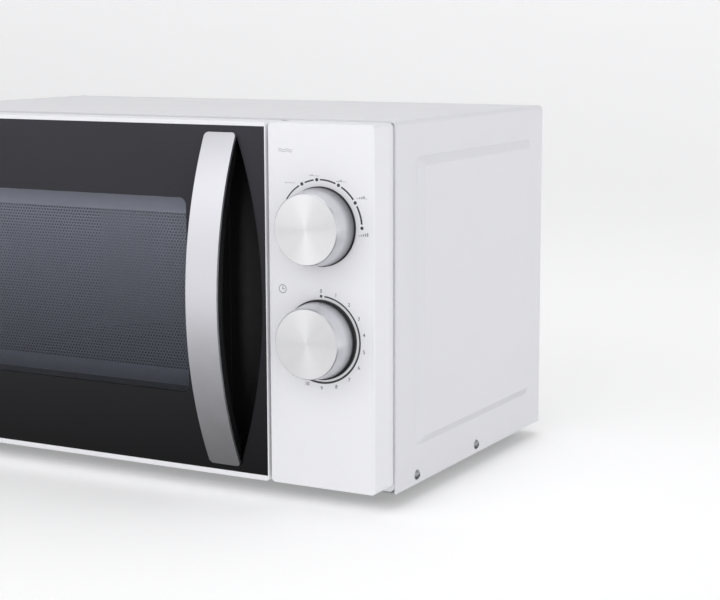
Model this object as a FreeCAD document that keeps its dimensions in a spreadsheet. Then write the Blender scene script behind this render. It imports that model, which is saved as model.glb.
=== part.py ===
"""Compact countertop microwave oven with two turning dials and a bowed door handle.

Millimetres, +X to the right, +Y to the back, +Z up. The origin is the middle of the
footprint, on the surface that the feet stand on. The front faces -Y.
"""

import FreeCAD, Part
import math
import os
import re

import Sketcher

Vector = FreeCAD.Vector

# Driving dimensions. Every name is an alias in the sheet.
SIZES = {
    # casing
    "casing_width": 440,
    "casing_height": 247,
    "casing_depth": 250,
    "foot_height": 11,
    "foot_radius": 10,
    "foot_x": 160,
    "foot_front_y": -55,
    "foot_rear_y": 110,
    "foot_stem": 3,
    "foot_grip": 4,
    "wrap_gauge": 1.2,
    "plate_gauge": 1,
    "base_gauge": 1.2,
    "base_flange": 14,
    "rear_flange": 15,
    "top_bend": 3.5,
    "rear_bend": 7,
    "rear_bend_inner": 5.8,
    "top_bend_inner": 2.3,
    "rear_proud": 2,
    "base_vent_pitch": 9,
    "base_vent_left": 112,
    "base_vent_right": 204,
    "base_vent_y": 60,
    "vent_wide": 3,
    "vent_pitch": 8,
    "outlet_from_cavity": 20,
    "outlet_wide": 60,
    "outlet_low": 190,
    "intake_half": 30,
    "intake_drop": 34,
    # raised panel pressed into each side of the casing
    "raised_front": 27,
    "raised_rear": 223,
    "raised_low": 24.5,
    "raised_high": 224.5,
    "raised_out": 3.3,
    "raised_slope": 8.2,
    "raised_round": 9,
    # screws
    "screw_head": 3.6,
    "screw_head_thick": 2,
    "screw_dome": 4.2,
    "screw_cross": 0.8,
    "screw_cross_long": 3.6,
    "screw_cross_deep": 1.1,
    "screw_radius": 1.6,
    "screw_length": 7,
    "screw_hole": 1.75,
    "side_screw_z": 6.4,
    "side_screw_front": 31,
    "side_screw_rear": 127,
    "rear_screw_inset": 11,
    "rear_screw_low": 60,
    "rear_screw_high": 200,
    # front
    "fascia_depth": 26,
    "fascia_inset": 1.9,
    "fascia_low": 4.9,
    "fascia_drop": 0.9,
    "panel_left": 139.1,
    "door_right": 137.3,
    "fascia_wall": 2.2,
    "seam_gap": 0.3,
    "door_rear_gap": 1.2,
    "panel_round": 3,
    "panel_edge": 0.8,
    "hatch_inset": 8,
    "hatch_right": 212,
    "hatch_low": 76,
    "hatch_high": 236,
    # oven cavity and what stands in it
    "cavity_left": -198,
    "cavity_right": 102,
    "cavity_low": 40,
    "cavity_high": 226,
    "cavity_rear": 140,
    "turn_x": -48,
    "turn_y": 21,
    "roller_circle": 87.2,
    "roller_radius": 7.8,
    "roller_width": 7.6,
    "roller_gap": 0.3,
    "axle_radius": 2,
    "running_gap": 0.06,
    "ring_inner": 74,
    "ring_outer": 82,
    "ring_thick": 4,
    "tray_radius": 112,
    "tray_thick": 4.6,
    "tray_rise": 8,
    "coupler_hub": 11,
    "coupler_reach": 20,
    "coupler_wing": 8,
    "coupler_stem": 3.5,
    "motor_radius": 24,
    "motor_thick": 20,
    "motor_ear_reach": 33,
    "motor_ear_half": 6,
    "motor_ear_thick": 2,
    "coupler_hole": 6,
    "stem_below": 11,
    "hub_low": 1.5,
    "hub_tall": 8.5,
    "wing_low": 5,
    "wing_tall": 10,
    "lug_radius": 2.5,
    "lug_low": 10.8,
    "lug_from_hub": 3.5,
    "tray_slope": 16,
    "tray_rim": 2.5,
    "tray_lip": 3,
    "hole_radius": 1.6,
    "hole_pitch": 5,
    "lamp_hole_y": 106,
    "lamp_hole_z": 114,
    "steam_hole_y": 86,
    "steam_hole_z": 196,
    # door
    "rim_top": 3,
    "rim_low": 3.6,
    "rim_side": 0.9,
    "rim_round": 2.5,
    "pillar_round": 7,
    "glass_thick": 2.4,
    "frame_front": 3,
    "window_left": -171,
    "window_right": 74,
    "window_low": 70.5,
    "window_high": 204.6,
    "window_round": 5,
    "reveal_wall": 1.5,
    "screen_back": 18.6,
    "screen_gauge": 0.8,
    "screen_rim": 2,
    "screen_left": -203,
    "screen_right": 118,
    "screen_low": 24,
    "screen_high": 247,
    "cover_thick": 3,
    "cover_gap": 0.2,
    # hinges
    "pin_x": -211,
    "pin_y": -108,
    "pin_radius": 3,
    "pin_long": 10,
    "hinge_low": 20,
    "hinge_high": 252,
    "hinge_plate": 2,
    "hinge_gap": 0.3,
    "notch_reach": 8,
    "hinge_corner": 8,
    "hinge_arm_half": 5,
    "hinge_flange_tall": 20,
    "hinge_flange_gauge": 1.2,
    # handle
    "handle_reach": 28,
    "handle_left": 91.2,
    "handle_right": 115.6,
    "handle_low": 23.8,
    "handle_high": 249.6,
    "end_proud": 1.6,
    "strip_thick": 2,
    "core_thick": 6,
    "strip_round": 3,
    "recess_right": 133.6,
    "recess_arc": 340,
    "recess_depth": 15,
    "recess_wall": 1.5,
    "tips_left": 112,
    "tips_low": 26,
    "tips_high": 248.5,
    "heart_left": 99,
    "heart_low": 43,
    "heart_high": 231,
    "boss_radius": 4,
    "boss_inset": 10,
    # latch
    "latch_x": 127,
    "latch_width": 3,
    "latch_lift": 3.5,
    "latch_tip": -80,
    "lower_hook_low": 52,
    "lower_hook_high": 78,
    "upper_hook_low": 180,
    "upper_hook_high": 190,
    "tooth_drop": 4,
    "button_gap": 0.3,
    "button_travel": 0.8,
    "button_half_x": 1.5,
    "button_half_z": 2,
    "switch_from_tip": 4,
    "switch_half_x": 5,
    "switch_half_z": 8,
    "switch_deep": 26,
    "bar_top": 198,
    "bar_thick": 4,
    "bar_from_rear": 3.4,
    "board_wall_left": 7,
    "board_wall_right": 5,
    "board_wall_low": 36,
    "board_wall_high": 206,
    "board_wall_rear": -48,
    "ledge_deep": 7,
    "ledge_clear": 0.4,
    "ledge_from_tip": 8,
    "spring_radius": 1.4,
    "spring_wire": 0.35,
    "spring_pitch": 2.4,
    "spring_low": 198.4,
    "spring_long": 21.2,
    "spring_from_rear": 5.4,
    "spring_lug": 3,
    # dials
    "dial_x": 178.5,
    "power_dial_z": 190.6,
    "timer_dial_z": 116.4,
    "knob_high": 20,
    "knob_face": 23.3,
    "knob_base": 25.6,
    "knob_wall": 1.8,
    "knob_gap": 0.5,
    "knob_cap": 22.7,
    "knob_cap_thick": 0.8,
    "shaft_radius": 3,
    "shaft_in_knob": 6,
    "shaft_in_case": 12,
    "timer_half": 28,
    "timer_deep": 48,
    "bell_radius": 20,
    "bell_deep": 10,
    "selector_half": 20,
    "selector_deep": 27,
    "notch_half": 1.2,
    "notch_deep": 2.5,
    # power supply and magnetron, in the bay right of the cavity
    "bay_x": 163,
    "guide_depth": 21,
    "guide_half_y": 36,
    "guide_half_z": 32,
    "guide_rim": 6,
    "cover_rim": 1,
    "mica_thick": 0.8,
    "tube_y": 50,
    "tube_z": 190,
    "yoke_wide": 54,
    "yoke_half": 30,
    "yoke_deep": 36,
    "yoke_gauge": 1.5,
    "antenna_radius": 7.5,
    "fin_gap": 5,
    "fin_gauge": 0.8,
    "fin_first": 5,
    "fin_half_y": 32,
    "fin_half_z": 28,
    "anode_radius": 17,
    "filter_box_wide": 22,
    "filter_box_half_y": 28,
    "filter_box_half_z": 24,
    "cutout_x": 26,
    "cutout_radius": 8,
    "cutout_tall": 6,
    "cutout_blade": 8,
    "core_front": -44,
    "core_rear": 16,
    "core_left": 120,
    "core_limb": 14,
    "core_window": 16,
    "core_tall": 72,
    "coil_tall": 19,
    "coil_gap": 3,
    "coil_proud": 13,
    "capacitor_left": 122,
    "capacitor_right": 202,
    "capacitor_half": 19,
    "capacitor_tall": 52,
    "terminal_long": 8,
    "clamp_left": 150,
    "clamp_wide": 12,
    "clamp_gauge": 1.2,
    "diode_radius": 4,
    "diode_long": 18,
    "diode_x": 128,
    "diode_from_capacitor": 30,
    "diode_high": 12,
    "capacitor_y": 55,
    "capacitor_round": 16,
    "fan_radius": 41,
    "fan_y": 112,
    "fan_deep": 10,
    "fan_hub": 8,
    "fan_blade_wide": 9,
    "fan_blade_thick": 1.2,
    "shroud_inset": 8,
    "shroud_right": 216,
    "shroud_half": 50,
    "shroud_front": 4,
    "shroud_eye": 5,
    "fan_motor_half_x": 22,
    "fan_motor_half_z": 24,
    "fan_motor_deep": 20,
    "board_left": 112,
    "board_right": 205,
    "board_front": 82,
    "board_rear": 138,
    "board_low": 92,
    "board_thick": 1.6,
    "lamp_y": 128,
    "lamp_z": 122,
    "lamp_from_cavity": 15,
    "holder_half": 10,
    "holder_deep": 14,
    "gland_x": 178,
    "gland_z": 40,
    "gland_hole": 7,
    "gland_bore": 4,
    "gland_neck": 4,
}

# Where each knob points at rest, in degrees clockwise from the top: timer at zero, power at least.
POINTER_AT_REST = {"timer": 0, "power": -90}
# Room on each side of a switch's button in its housing.
CLEAR = 0.15
BASE_VENT_COUNT = 7
INTAKE_COUNT = 9
OUTLET_COUNT = 6
# Columns and rows of the small holes beside the lamp and at the steam outlet.
LAMP_HOLES = (4, 4)
STEAM_HOLES = (8, 4)
ROLLERS = 3
FINS = 9
FAN_BLADES = 5
FAN_PITCH = 35
# How far cutting tools reach past the face that they cut.
PAST = 5

doc = FreeCAD.newDocument("microwave_oven")
sheet = doc.addObject("Spreadsheet::Sheet", "dims")
sub_parts = []

# Places that follow from the driving dimensions, as rules for the sheet's cells.
RIGHT = "(casing_width / 2)"
LEFT = "(-casing_width / 2)"
FASCIA = "((handle_reach - fascia_depth - casing_depth - rear_proud) / 2)"
SEAM = f"({FASCIA} + fascia_depth)"
BACK = f"({SEAM} + casing_depth)"
LOW = "foot_height"
HIGH = "(foot_height + casing_height)"
INNER_RIGHT = f"({RIGHT} - wrap_gauge)"
INNER_LEFT = f"({LEFT} + wrap_gauge)"
INNER_BACK = f"({BACK} - wrap_gauge)"
FLOOR = f"({LOW} + base_gauge)"
FASCIA_LOW = f"({LOW} + fascia_low)"
FASCIA_HIGH = f"({HIGH} - fascia_drop)"
FASCIA_LEFT = f"({LEFT} + fascia_inset)"
FASCIA_RIGHT = f"({RIGHT} - fascia_inset)"
FRAME_Y = f"({SEAM} + 0.1)"
FRAME_REAR = f"({FRAME_Y} + plate_gauge)"
DOOR_REAR = f"({SEAM} - door_rear_gap)"
GLASS_REAR = f"({FASCIA} + glass_thick)"
SHELF_REAR = f"({GLASS_REAR} + frame_front)"
SCREEN_Y = f"({FASCIA} + screen_back)"
TRAY_LOW = "(cavity_low + 2 * roller_radius + 2 * roller_gap)"
ROLLER_Z = "(cavity_low + roller_radius + roller_gap)"
HANDLE_MID_Z = "((handle_low + handle_high) / 2)"
KNOB_FACE_Y = f"({FASCIA} - knob_high)"
YOKE_LEFT = "(cavity_right + plate_gauge + guide_depth)"
YOKE_RIGHT = f"({YOKE_LEFT} + yoke_wide)"


def fill_sheet():
    """Write the driving dimensions into the sheet, one aliased cell each."""
    for row, (alias, value) in enumerate(SIZES.items(), 1):
        sheet.set(f"A{row}", alias)
        sheet.set(f"B{row}", str(value))
        sheet.setAlias(f"B{row}", alias)
    doc.recompute()


def in_sheet(rule):
    """Turn a rule such as '(casing_width / 2)' into an expression on the sheet."""
    return re.sub(r"[a-z][a-z_]+", lambda word: "dims." + word.group(), str(rule))


def bind(item, **rules):
    """Bind properties of an object to rules. A double underscore stands for a dot."""
    for name, rule in rules.items():
        item.setExpression(name.replace("__", "."), in_sheet(rule))
    return item


def place(item, x, y, z):
    """Bind an object's position."""
    return bind(item, Placement__Base__x=x, Placement__Base__y=y, Placement__Base__z=z)


def sub_part(item, label):
    """Name a finished sub-part. Its label is its file's name."""
    item.Label = label
    sub_parts.append(item)
    return item


def block(x, y, z):
    """A box from its (low, high) rules along each axis."""
    item = doc.addObject("Part::Box", "block")
    place(item, x[0], y[0], z[0])
    return bind(
        item,
        Length=f"({x[1]}) - ({x[0]})",
        Width=f"({y[1]}) - ({y[0]})",
        Height=f"({z[1]}) - ({z[0]})",
    )


ALONG = {
    "x": FreeCAD.Rotation(Vector(0, 1, 0), 90),
    "y": FreeCAD.Rotation(Vector(1, 0, 0), -90),
    "z": FreeCAD.Rotation(),
}


def rod(radius, length, x, y, z, along="z"):
    """A cylinder that starts at x, y, z and runs along one axis."""
    item = doc.addObject("Part::Cylinder", "rod")
    item.Placement = FreeCAD.Placement(Vector(), ALONG[along])
    place(item, x, y, z)
    return bind(item, Radius=radius, Height=length)


def fuse(*items):
    """Join items into one solid."""
    item = doc.addObject("Part::MultiFuse", "fuse")
    item.Shapes = list(items)
    return item


def common(base, tool):
    """What two items share."""
    item = doc.addObject("Part::Common", "common")
    item.Base = base
    item.Tool = tool
    return item


def cut(base, *tools):
    """Take tools away from a base."""
    item = doc.addObject("Part::Cut", "cut")
    item.Base = base
    item.Tool = tools[0] if len(tools) == 1 else fuse(*tools)
    return item


def group(*items):
    """Separate solids that share one node."""
    item = doc.addObject("Part::Compound", "group")
    item.Links = list(items)
    return item


def mirrored(source, x=1, y=0, z=0):
    """A mirror image in a plane through the origin."""
    item = doc.addObject("Part::Mirroring", "mirror")
    item.Source = source
    item.Normal = Vector(x, y, z)
    return item


def rounded(base, radius_name, chosen):
    """Round the edges of a base that a test picks, with a radius from the sheet."""
    doc.recompute()
    radius = sheet.get(radius_name)
    item = doc.addObject("Part::Fillet", "rounded")
    item.Base = base
    edges = enumerate(base.Shape.Edges, 1)
    item.Edges = [(i, radius, radius) for i, edge in edges if chosen(edge)]
    return item


def runs_along(edge, axis):
    """True for a straight edge that runs along an axis."""
    ends = [vertex.Point for vertex in edge.Vertexes]
    if len(ends) != 2 or edge.Curve.TypeId != "Part::GeomLine":
        return False
    run = ends[1] - ends[0]
    return abs(run.dot(axis)) > 0.999 * run.Length


def value(rule):
    """The number that a rule gives, read through a scratch cell."""
    sheet.set("D1", f"={rule}")
    sheet.recompute()
    return float(sheet.get("D1"))


def outline(body, role, corners):
    """A closed sketch on one of a body's own planes, each corner pinned by two rules."""
    sketch = body.newObject("Sketcher::SketchObject", "outline")
    plane = next(item for item in body.Origin.OriginFeatures if item.Role == role)
    sketch.AttachmentSupport = [(plane, "")]
    sketch.MapMode = "FlatFace"
    count = len(corners)
    seeds = [Vector(value(across), value(up), 0) for across, up in corners]
    for i in range(count):
        sketch.addGeometry(Part.LineSegment(seeds[i], seeds[(i + 1) % count]), False)
    for i in range(count):
        sketch.addConstraint(Sketcher.Constraint("Coincident", i, 2, (i + 1) % count, 1))
    for i, (across, up) in enumerate(corners):
        for kind, rule, number in (("DistanceX", across, seeds[i].x), ("DistanceY", up, seeds[i].y)):
            pin = sketch.addConstraint(Sketcher.Constraint(kind, i, 1, number))
            sketch.setExpression(f"Constraints[{pin}]", in_sheet(rule))
    return sketch


def turned(corners, x, y, z, along="z"):
    """A body made by turning a profile of (radius, height) corners about one axis."""
    body = doc.addObject("PartDesign::Body", "turned")
    sketch = outline(body, "XZ_Plane", corners)
    turn = body.newObject("PartDesign::Revolution", "turn")
    turn.Profile = sketch
    turn.ReferenceAxis = (sketch, ["V_Axis"])
    turn.Angle = 360
    body.Placement = FreeCAD.Placement(Vector(), ALONG[along])
    place(body, x, y, z)
    return body


def slots(count, pitch, x, y, z, step):
    """Equal blocks repeated along one axis, as cutting tools."""
    made = []
    for i in range(count):
        shift = {"x": "0", "y": "0", "z": "0", step: f"{i} * {pitch}"}
        spans = []
        for axis, span in zip("xyz", (x, y, z)):
            spans.append([f"({end}) + {shift[axis]}" for end in span])
        made.append(block(*spans))
    return made


# --- casing -----------------------------------------------------------------------------------


def raised_panel(shrink):
    """A flat-topped frustum lying on the right side, its slope turned outwards."""
    wedge = doc.addObject("Part::Wedge", "raised")
    # The wedge's own Y is turned to point along +X, its X along -Y.
    wedge.Placement = FreeCAD.Placement(Vector(), FreeCAD.Rotation(Vector(0, 0, 1), -90))
    place(wedge, f"{RIGHT} - wrap_gauge", "0", "0")
    front, rear = f"-({SEAM} + raised_front)", f"-({SEAM} + raised_rear)"
    bind(wedge, Ymin=0, Ymax=f"wrap_gauge + raised_out - {shrink}")
    bind(wedge, Xmin=f"{rear} + {shrink}", Xmax=f"{front} - {shrink}")
    bind(wedge, Zmin=f"{LOW} + raised_low + {shrink}", Zmax=f"{LOW} + raised_high - {shrink}")
    bind(wedge, X2min=f"{rear} + raised_slope + {shrink}")
    bind(wedge, X2max=f"{front} - raised_slope - {shrink}")
    bind(wedge, Z2min=f"{LOW} + raised_low + raised_slope + {shrink}")
    bind(wedge, Z2max=f"{LOW} + raised_high - raised_slope - {shrink}")
    sideways = Vector(1, 0, 0)

    def slanted(edge):
        run = edge.Vertexes[1].Point - edge.Vertexes[0].Point
        return 0.02 < abs(run.dot(sideways)) / run.Length < 0.98

    return rounded(wedge, "raised_round", slanted)


def side_holes():
    """Clearance holes right through both sides for the side screws."""
    z = f"{LOW} + side_screw_z"
    return [
        rod("screw_hole", f"casing_width + 2 * {PAST}", f"{LEFT} - {PAST}", f"{SEAM} + {y}", z, "x")
        for y in ("side_screw_front", "side_screw_rear")
    ]


def rear_holes():
    """Clearance holes for the rear screws."""
    return [
        rod("screw_hole", f"2 * screw_length + {PAST}", x, f"{BACK} - screw_length - {PAST}", z, "y")
        for x, z in rear_screws()
    ]


def rear_screws():
    """Where the rear screws stand: two up each side flange and one in the top flange."""
    side = f"{RIGHT} - rear_screw_inset"
    heights = ("rear_screw_low", "rear_screw_high")
    spots = [(f"{sign}({side})", z) for sign in ("", "-") for z in heights]
    return spots + [("0", f"{HIGH} - rear_screw_inset")]


def bent(solid, rear_radius, top_radius):
    """Round a block's rear edges, then the long edges at its top."""
    doc.recompute()
    box = solid.Shape.BoundBox

    def rear(edge):
        middle = edge.CenterOfMass
        at_rear = abs(middle.y - box.YMax) < 1
        upright = runs_along(edge, Vector(0, 0, 1))
        across = runs_along(edge, Vector(1, 0, 0)) and abs(middle.z - box.ZMax) < 1
        return at_rear and (upright or across)

    def shoulder(edge):
        return runs_along(edge, Vector(0, 1, 0)) and abs(edge.CenterOfMass.z - box.ZMax) < 1

    return rounded(rounded(solid, rear_radius, rear), top_radius, shoulder)


def cabinet_wrap():
    """Folded steel wrap: top and two sides, with a return flange at the rear."""
    outer = bent(block((LEFT, RIGHT), (SEAM, BACK), (LOW, HIGH)), "rear_bend", "top_bend")
    inside = block(
        (INNER_LEFT, INNER_RIGHT),
        (f"{SEAM} - {PAST}", INNER_BACK),
        (f"{LOW} - {PAST}", f"{HIGH} - wrap_gauge"),
    )
    inner = bent(inside, "rear_bend_inner", "top_bend_inner")
    rear = block(
        (f"{LEFT} + rear_flange", f"{RIGHT} - rear_flange"),
        (f"{BACK} - {PAST}", f"{BACK} + {PAST}"),
        (f"{LOW} - {PAST}", f"{HIGH} - rear_flange"),
    )
    raised, hollow = raised_panel("0"), raised_panel("(wrap_gauge * 0.9)")
    shell = fuse(cut(outer, inner, rear), raised, mirrored(raised))
    sub_part(cut(shell, hollow, mirrored(hollow), *side_holes(), *rear_holes()), "cabinet_wrap")


def base_plate():
    """Floor pan of the casing, with flanges turned up at both sides."""
    front, rear = f"{FRAME_REAR} + 0.1", f"{INNER_BACK} - plate_gauge - 0.4"
    pan = block((INNER_LEFT, INNER_RIGHT), (front, rear), (LOW, f"{LOW} + base_flange"))


    def rear_corner(edge):
        return runs_along(edge, Vector(0, 0, 1)) and edge.CenterOfMass.y > 0

    pan = rounded(pan, "rear_bend", rear_corner)
    hollow = block(
        (f"{INNER_LEFT} + base_gauge", f"{INNER_RIGHT} - base_gauge"),
        (f"{front} - {PAST}", f"{rear} + {PAST}"),
        (FLOOR, f"{LOW} + base_flange + {PAST}"),
    )
    vents = slots(
        BASE_VENT_COUNT,
        "base_vent_pitch",
        ("base_vent_left", "base_vent_right"),
        ("base_vent_y", "base_vent_y + vent_wide"),
        (f"{LOW} - {PAST}", f"{FLOOR} + {PAST}"),
        "y",
    )
    stems = [rod("foot_stem + 0.1", "foot_height + 20", x, y, 0) for x, y in foot_spots()]
    sub_part(cut(pan, hollow, *vents, *stems, *side_holes()), "base_plate")


def foot_spots():
    """The four feet's places."""
    return [(f"{sign}foot_x", y) for sign in ("-", "") for y in ("foot_front_y", "foot_rear_y")]


def feet():
    """Four round feet, each held by a stem through the base."""
    made = []
    for x, y in foot_spots():
        pad = rod("foot_radius", "foot_height", x, y, 0)
        stem = rod("foot_stem", "foot_height + foot_grip", x, y, 0)
        made.append(fuse(pad, stem))
    sub_part(group(*made), "feet")


def back_plate():
    """Rear sheet inside the wrap's flange, with air slots and the cord's hole."""
    y = (f"{INNER_BACK} - plate_gauge", INNER_BACK)
    edge = "(rear_bend_inner + 0.2)"
    plate = block(
        (f"{INNER_LEFT} + {edge}", f"{INNER_RIGHT} - {edge}"),
        y,
        (f"{FLOOR} + 0.2", f"{HIGH} - wrap_gauge - {edge}"),
    )
    through = (f"{INNER_BACK} - {PAST}", f"{INNER_BACK} + {PAST}")
    intake = slots(
        INTAKE_COUNT,
        "vent_pitch",
        ("bay_x - intake_half", "bay_x + intake_half"),
        through,
        ("tube_z - intake_drop", "tube_z - intake_drop + vent_wide"),
        "z",
    )
    outlet = slots(
        OUTLET_COUNT,
        "vent_pitch",
        ("cavity_left + outlet_from_cavity", "cavity_left + outlet_from_cavity + outlet_wide"),
        through,
        ("outlet_low", "outlet_low + vent_wide"),
        "z",
    )
    gland = rod("gland_hole", f"2 * {PAST}", "gland_x", through[0], "gland_z", "y")
    sub_part(cut(plate, *intake, *outlet, gland, *rear_holes()), "back_plate")


def cord_gland():
    """Bushing that the supply cord would leave through."""
    neck, flange = "gland_hole - 0.1", "gland_hole + 2"
    profile = [
        ("gland_bore", 0),
        (neck, 0),
        (neck, "gland_neck"),
        (flange, "gland_neck"),
        (flange, "gland_neck + 1.2"),
        (f"{flange} - 1.5", "gland_neck + 2.7"),
        ("gland_bore", "gland_neck + 2.7"),
    ]
    body = turned(profile, "gland_x", f"{INNER_BACK} - gland_neck", "gland_z", "y")
    sub_part(body, "cord_gland")


def casing_screw(x, y, z, along):
    """A pan-head screw with a cross recess, from the face that its head sits on."""
    at = {"x": x, "y": y, "z": z}

    def shifted(shift):
        return [f"{at[axis]} + {shift}" if axis == along else at[axis] for axis in "xyz"]

    head = rod("screw_head", "screw_head_thick", x, y, z, along)
    dome = doc.addObject("Part::Sphere", "dome")
    place(dome, *shifted("screw_head_thick - screw_dome"))
    bind(dome, Radius="screw_dome")
    crosses = []
    for long_way in "xyz".replace(along, ""):
        spans = []
        for axis in "xyz":
            half = "screw_cross_long / 2" if axis == long_way else "screw_cross / 2"
            deep = (f"{at[axis]} + screw_head_thick - screw_cross_deep", f"{at[axis]} + {PAST}")
            spans.append(deep if axis == along else (f"{at[axis]} - {half}", f"{at[axis]} + {half}"))
        crosses.append(block(*spans))
    shank = rod("screw_radius", "screw_length", *shifted("(-screw_length)"), along)
    return fuse(cut(common(head, dome), *crosses), shank)


def casing_screws():
    """Pan-head screws: two up each side of the casing, five at the rear."""
    made = []
    for y in ("side_screw_front", "side_screw_rear"):
        screw = casing_screw(RIGHT, f"{SEAM} + {y}", f"{LOW} + side_screw_z", "x")
        made += [screw, mirrored(screw)]
    for x, z in rear_screws():
        made.append(casing_screw(x, BACK, z, "y"))
    sub_part(group(*made), "casing_screws")


def front_frame():
    """Steel plate round the oven's mouth, open behind the control panel and at the latch."""
    plate = block(
        (f"{INNER_LEFT} + 0.2", f"{INNER_RIGHT} - 0.2"),
        (FRAME_Y, FRAME_REAR),
        (f"{FLOOR} + 0.2", f"{HIGH} - wrap_gauge - 0.2"),
    )
    plate = rounded(plate, "top_bend", lambda edge: runs_along(edge, Vector(0, 1, 0)))
    through = (f"{FRAME_Y} - {PAST}", f"{FRAME_REAR} + {PAST}")
    mouth = block(("cavity_left", "cavity_right"), through, ("cavity_low", "cavity_high"))
    hatch = block(
        ("panel_left + hatch_inset", "hatch_right"), through, ("hatch_low", "hatch_high")
    )
    holes = [mouth, hatch, *hook_slots(through)]
    arm = ("pin_x - hinge_arm_half - 0.2", "pin_x + hinge_arm_half + 0.2")
    for low in ("hinge_low", "hinge_high - hinge_plate"):
        holes.append(block(arm, through, (f"{low} - 0.2", f"{low} + hinge_plate + 0.2")))
    sub_part(cut(plate, *holes), "front_frame")


def hook_slots(through):
    """Slots that the two latch hooks pass through, with room for their lift and swing."""
    across = ("latch_x - latch_width / 2 - 1.5", "latch_x + latch_width / 2 + 4")
    made = []
    for hook in ("lower", "upper"):
        up = (f"{hook}_hook_low - tooth_drop - 1", f"{hook}_hook_high + latch_lift + 1")
        made.append(block(across, through, up))
    return made


# --- cavity, turntable ------------------------------------------------------------------------


def cavity_shell():
    """Five-sided oven cavity with holes for the coupler, the waveguide and the lamp."""
    outer = block(
        ("cavity_left - plate_gauge", "cavity_right + plate_gauge"),
        (FRAME_REAR, "cavity_rear + plate_gauge"),
        ("cavity_low - plate_gauge", "cavity_high + plate_gauge"),
    )
    inner = block(
        ("cavity_left", "cavity_right"),
        (f"{FRAME_REAR} - {PAST}", "cavity_rear"),
        ("cavity_low", "cavity_high"),
    )
    coupler = rod("coupler_hole", f"4 * {PAST}", "turn_x", "turn_y", f"cavity_low - 2 * {PAST}")
    wave_half_z = "(guide_half_z - guide_rim - cover_rim)"
    wave = block(
        (f"cavity_right - {PAST}", f"cavity_right + {PAST}"),
        ("tube_y - guide_half_y + guide_rim", "tube_y + guide_half_y - guide_rim"),
        (f"tube_z - {wave_half_z}", f"tube_z + {wave_half_z}"),
    )
    lamp = hole_grid("cavity_right", "lamp_hole_y", "lamp_hole_z", LAMP_HOLES)
    steam = hole_grid("cavity_left", "steam_hole_y", "steam_hole_z", STEAM_HOLES)
    sub_part(cut(outer, inner, coupler, wave, *lamp, *steam), "cavity_shell")


def hole_grid(wall, y, z, counts):
    """Small round holes through a side wall, in columns along Y and rows up Z."""
    start = f"{wall} - {PAST}"
    columns = [f"{y} + {i} * hole_pitch" for i in range(counts[0])]
    rows = [f"{z} + {j} * hole_pitch" for j in range(counts[1])]
    return [
        rod("hole_radius", f"2 * {PAST}", start, column, row, "x") for column in columns for row in rows
    ]


def turntable():
    """Motor under the floor, coupler, roller ring with three rollers, and the glass tray."""
    under = "cavity_low - plate_gauge"
    motor = rod("motor_radius", "motor_thick", "turn_x", "turn_y", f"{under} - motor_thick")
    ears = block(
        ("turn_x - motor_ear_reach", "turn_x + motor_ear_reach"),
        ("turn_y - motor_ear_half", "turn_y + motor_ear_half"),
        (f"{under} - motor_ear_thick", under),
    )
    seat = f"{under} - stem_below - 1"
    bore = rod("coupler_stem + running_gap", "stem_below + 2", "turn_x", "turn_y", seat)
    sub_part(cut(fuse(motor, ears), bore), "turntable_motor")

    stem = rod("coupler_stem", "stem_below + wing_low", "turn_x", "turn_y", f"{under} - stem_below")
    hub = rod("coupler_hub", "hub_tall", "turn_x", "turn_y", "cavity_low + hub_low")
    wings = []
    for i in range(ROLLERS):
        angle = 360 / ROLLERS * i
        half = "coupler_wing / 2"
        wing = block(("0", "coupler_reach"), (f"-{half}", half), (0, "wing_tall"))
        wing.Placement.Rotation = FreeCAD.Rotation(Vector(0, 0, 1), angle)
        swing = math.radians(angle)
        place(
            wing,
            f"turn_x + {half} * {math.sin(swing):.6f}",
            f"turn_y - {half} * {math.cos(swing):.6f}",
            "cavity_low + wing_low",
        )
        wings.append(wing)
    sub_part(fuse(stem, hub, *wings), "turntable_coupler")

    low = f"{ROLLER_Z} - ring_thick / 2"
    band = cut(
        rod("ring_outer", "ring_thick", "turn_x", "turn_y", low),
        rod("ring_inner", "ring_thick + 10", "turn_x", "turn_y", f"{low} - 5"),
    )
    axles = []
    axle_long = "roller_circle + roller_width / 2 + 1 - ring_inner - 2"
    for i in range(ROLLERS):
        angle = 360 / ROLLERS * i + 90
        axle = rod("axle_radius", axle_long, 0, 0, ROLLER_Z, "x")
        turn_about_centre(axle, angle, "ring_inner + 2")
        axles.append(axle)
        wheel = rod("roller_radius", "roller_width", 0, 0, ROLLER_Z, "x")
        bore = rod("axle_radius + running_gap", "roller_width + 4", 0, 0, ROLLER_Z, "x")
        turn_about_centre(wheel, angle, "roller_circle - roller_width / 2")
        turn_about_centre(bore, angle, "roller_circle - roller_width / 2 - 2")
        sub_part(cut(wheel, bore), f"tray_roller_{i + 1}")
    sub_part(fuse(band, *axles), "roller_ring")

    profile = [
        (0, 0),
        ("tray_radius - tray_slope", 0),
        ("tray_radius", "tray_rise"),
        ("tray_radius", "tray_rise + tray_lip"),
        ("tray_radius - tray_rim", "tray_rise + tray_lip"),
        ("tray_radius - tray_slope - 1", "tray_thick"),
        (0, "tray_thick"),
    ]
    dish = turned(profile, "turn_x", "turn_y", TRAY_LOW)
    lugs = []
    for i in range(ROLLERS):
        lug = rod("lug_radius", f"{TRAY_LOW} + 1 - cavity_low - lug_low", 0, 0, "cavity_low + lug_low")
        turn_about_centre(lug, 360 / ROLLERS * (i + 0.5), "coupler_hub + lug_from_hub")
        lugs.append(lug)
    sub_part(fuse(dish, *lugs), "glass_tray")


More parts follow.
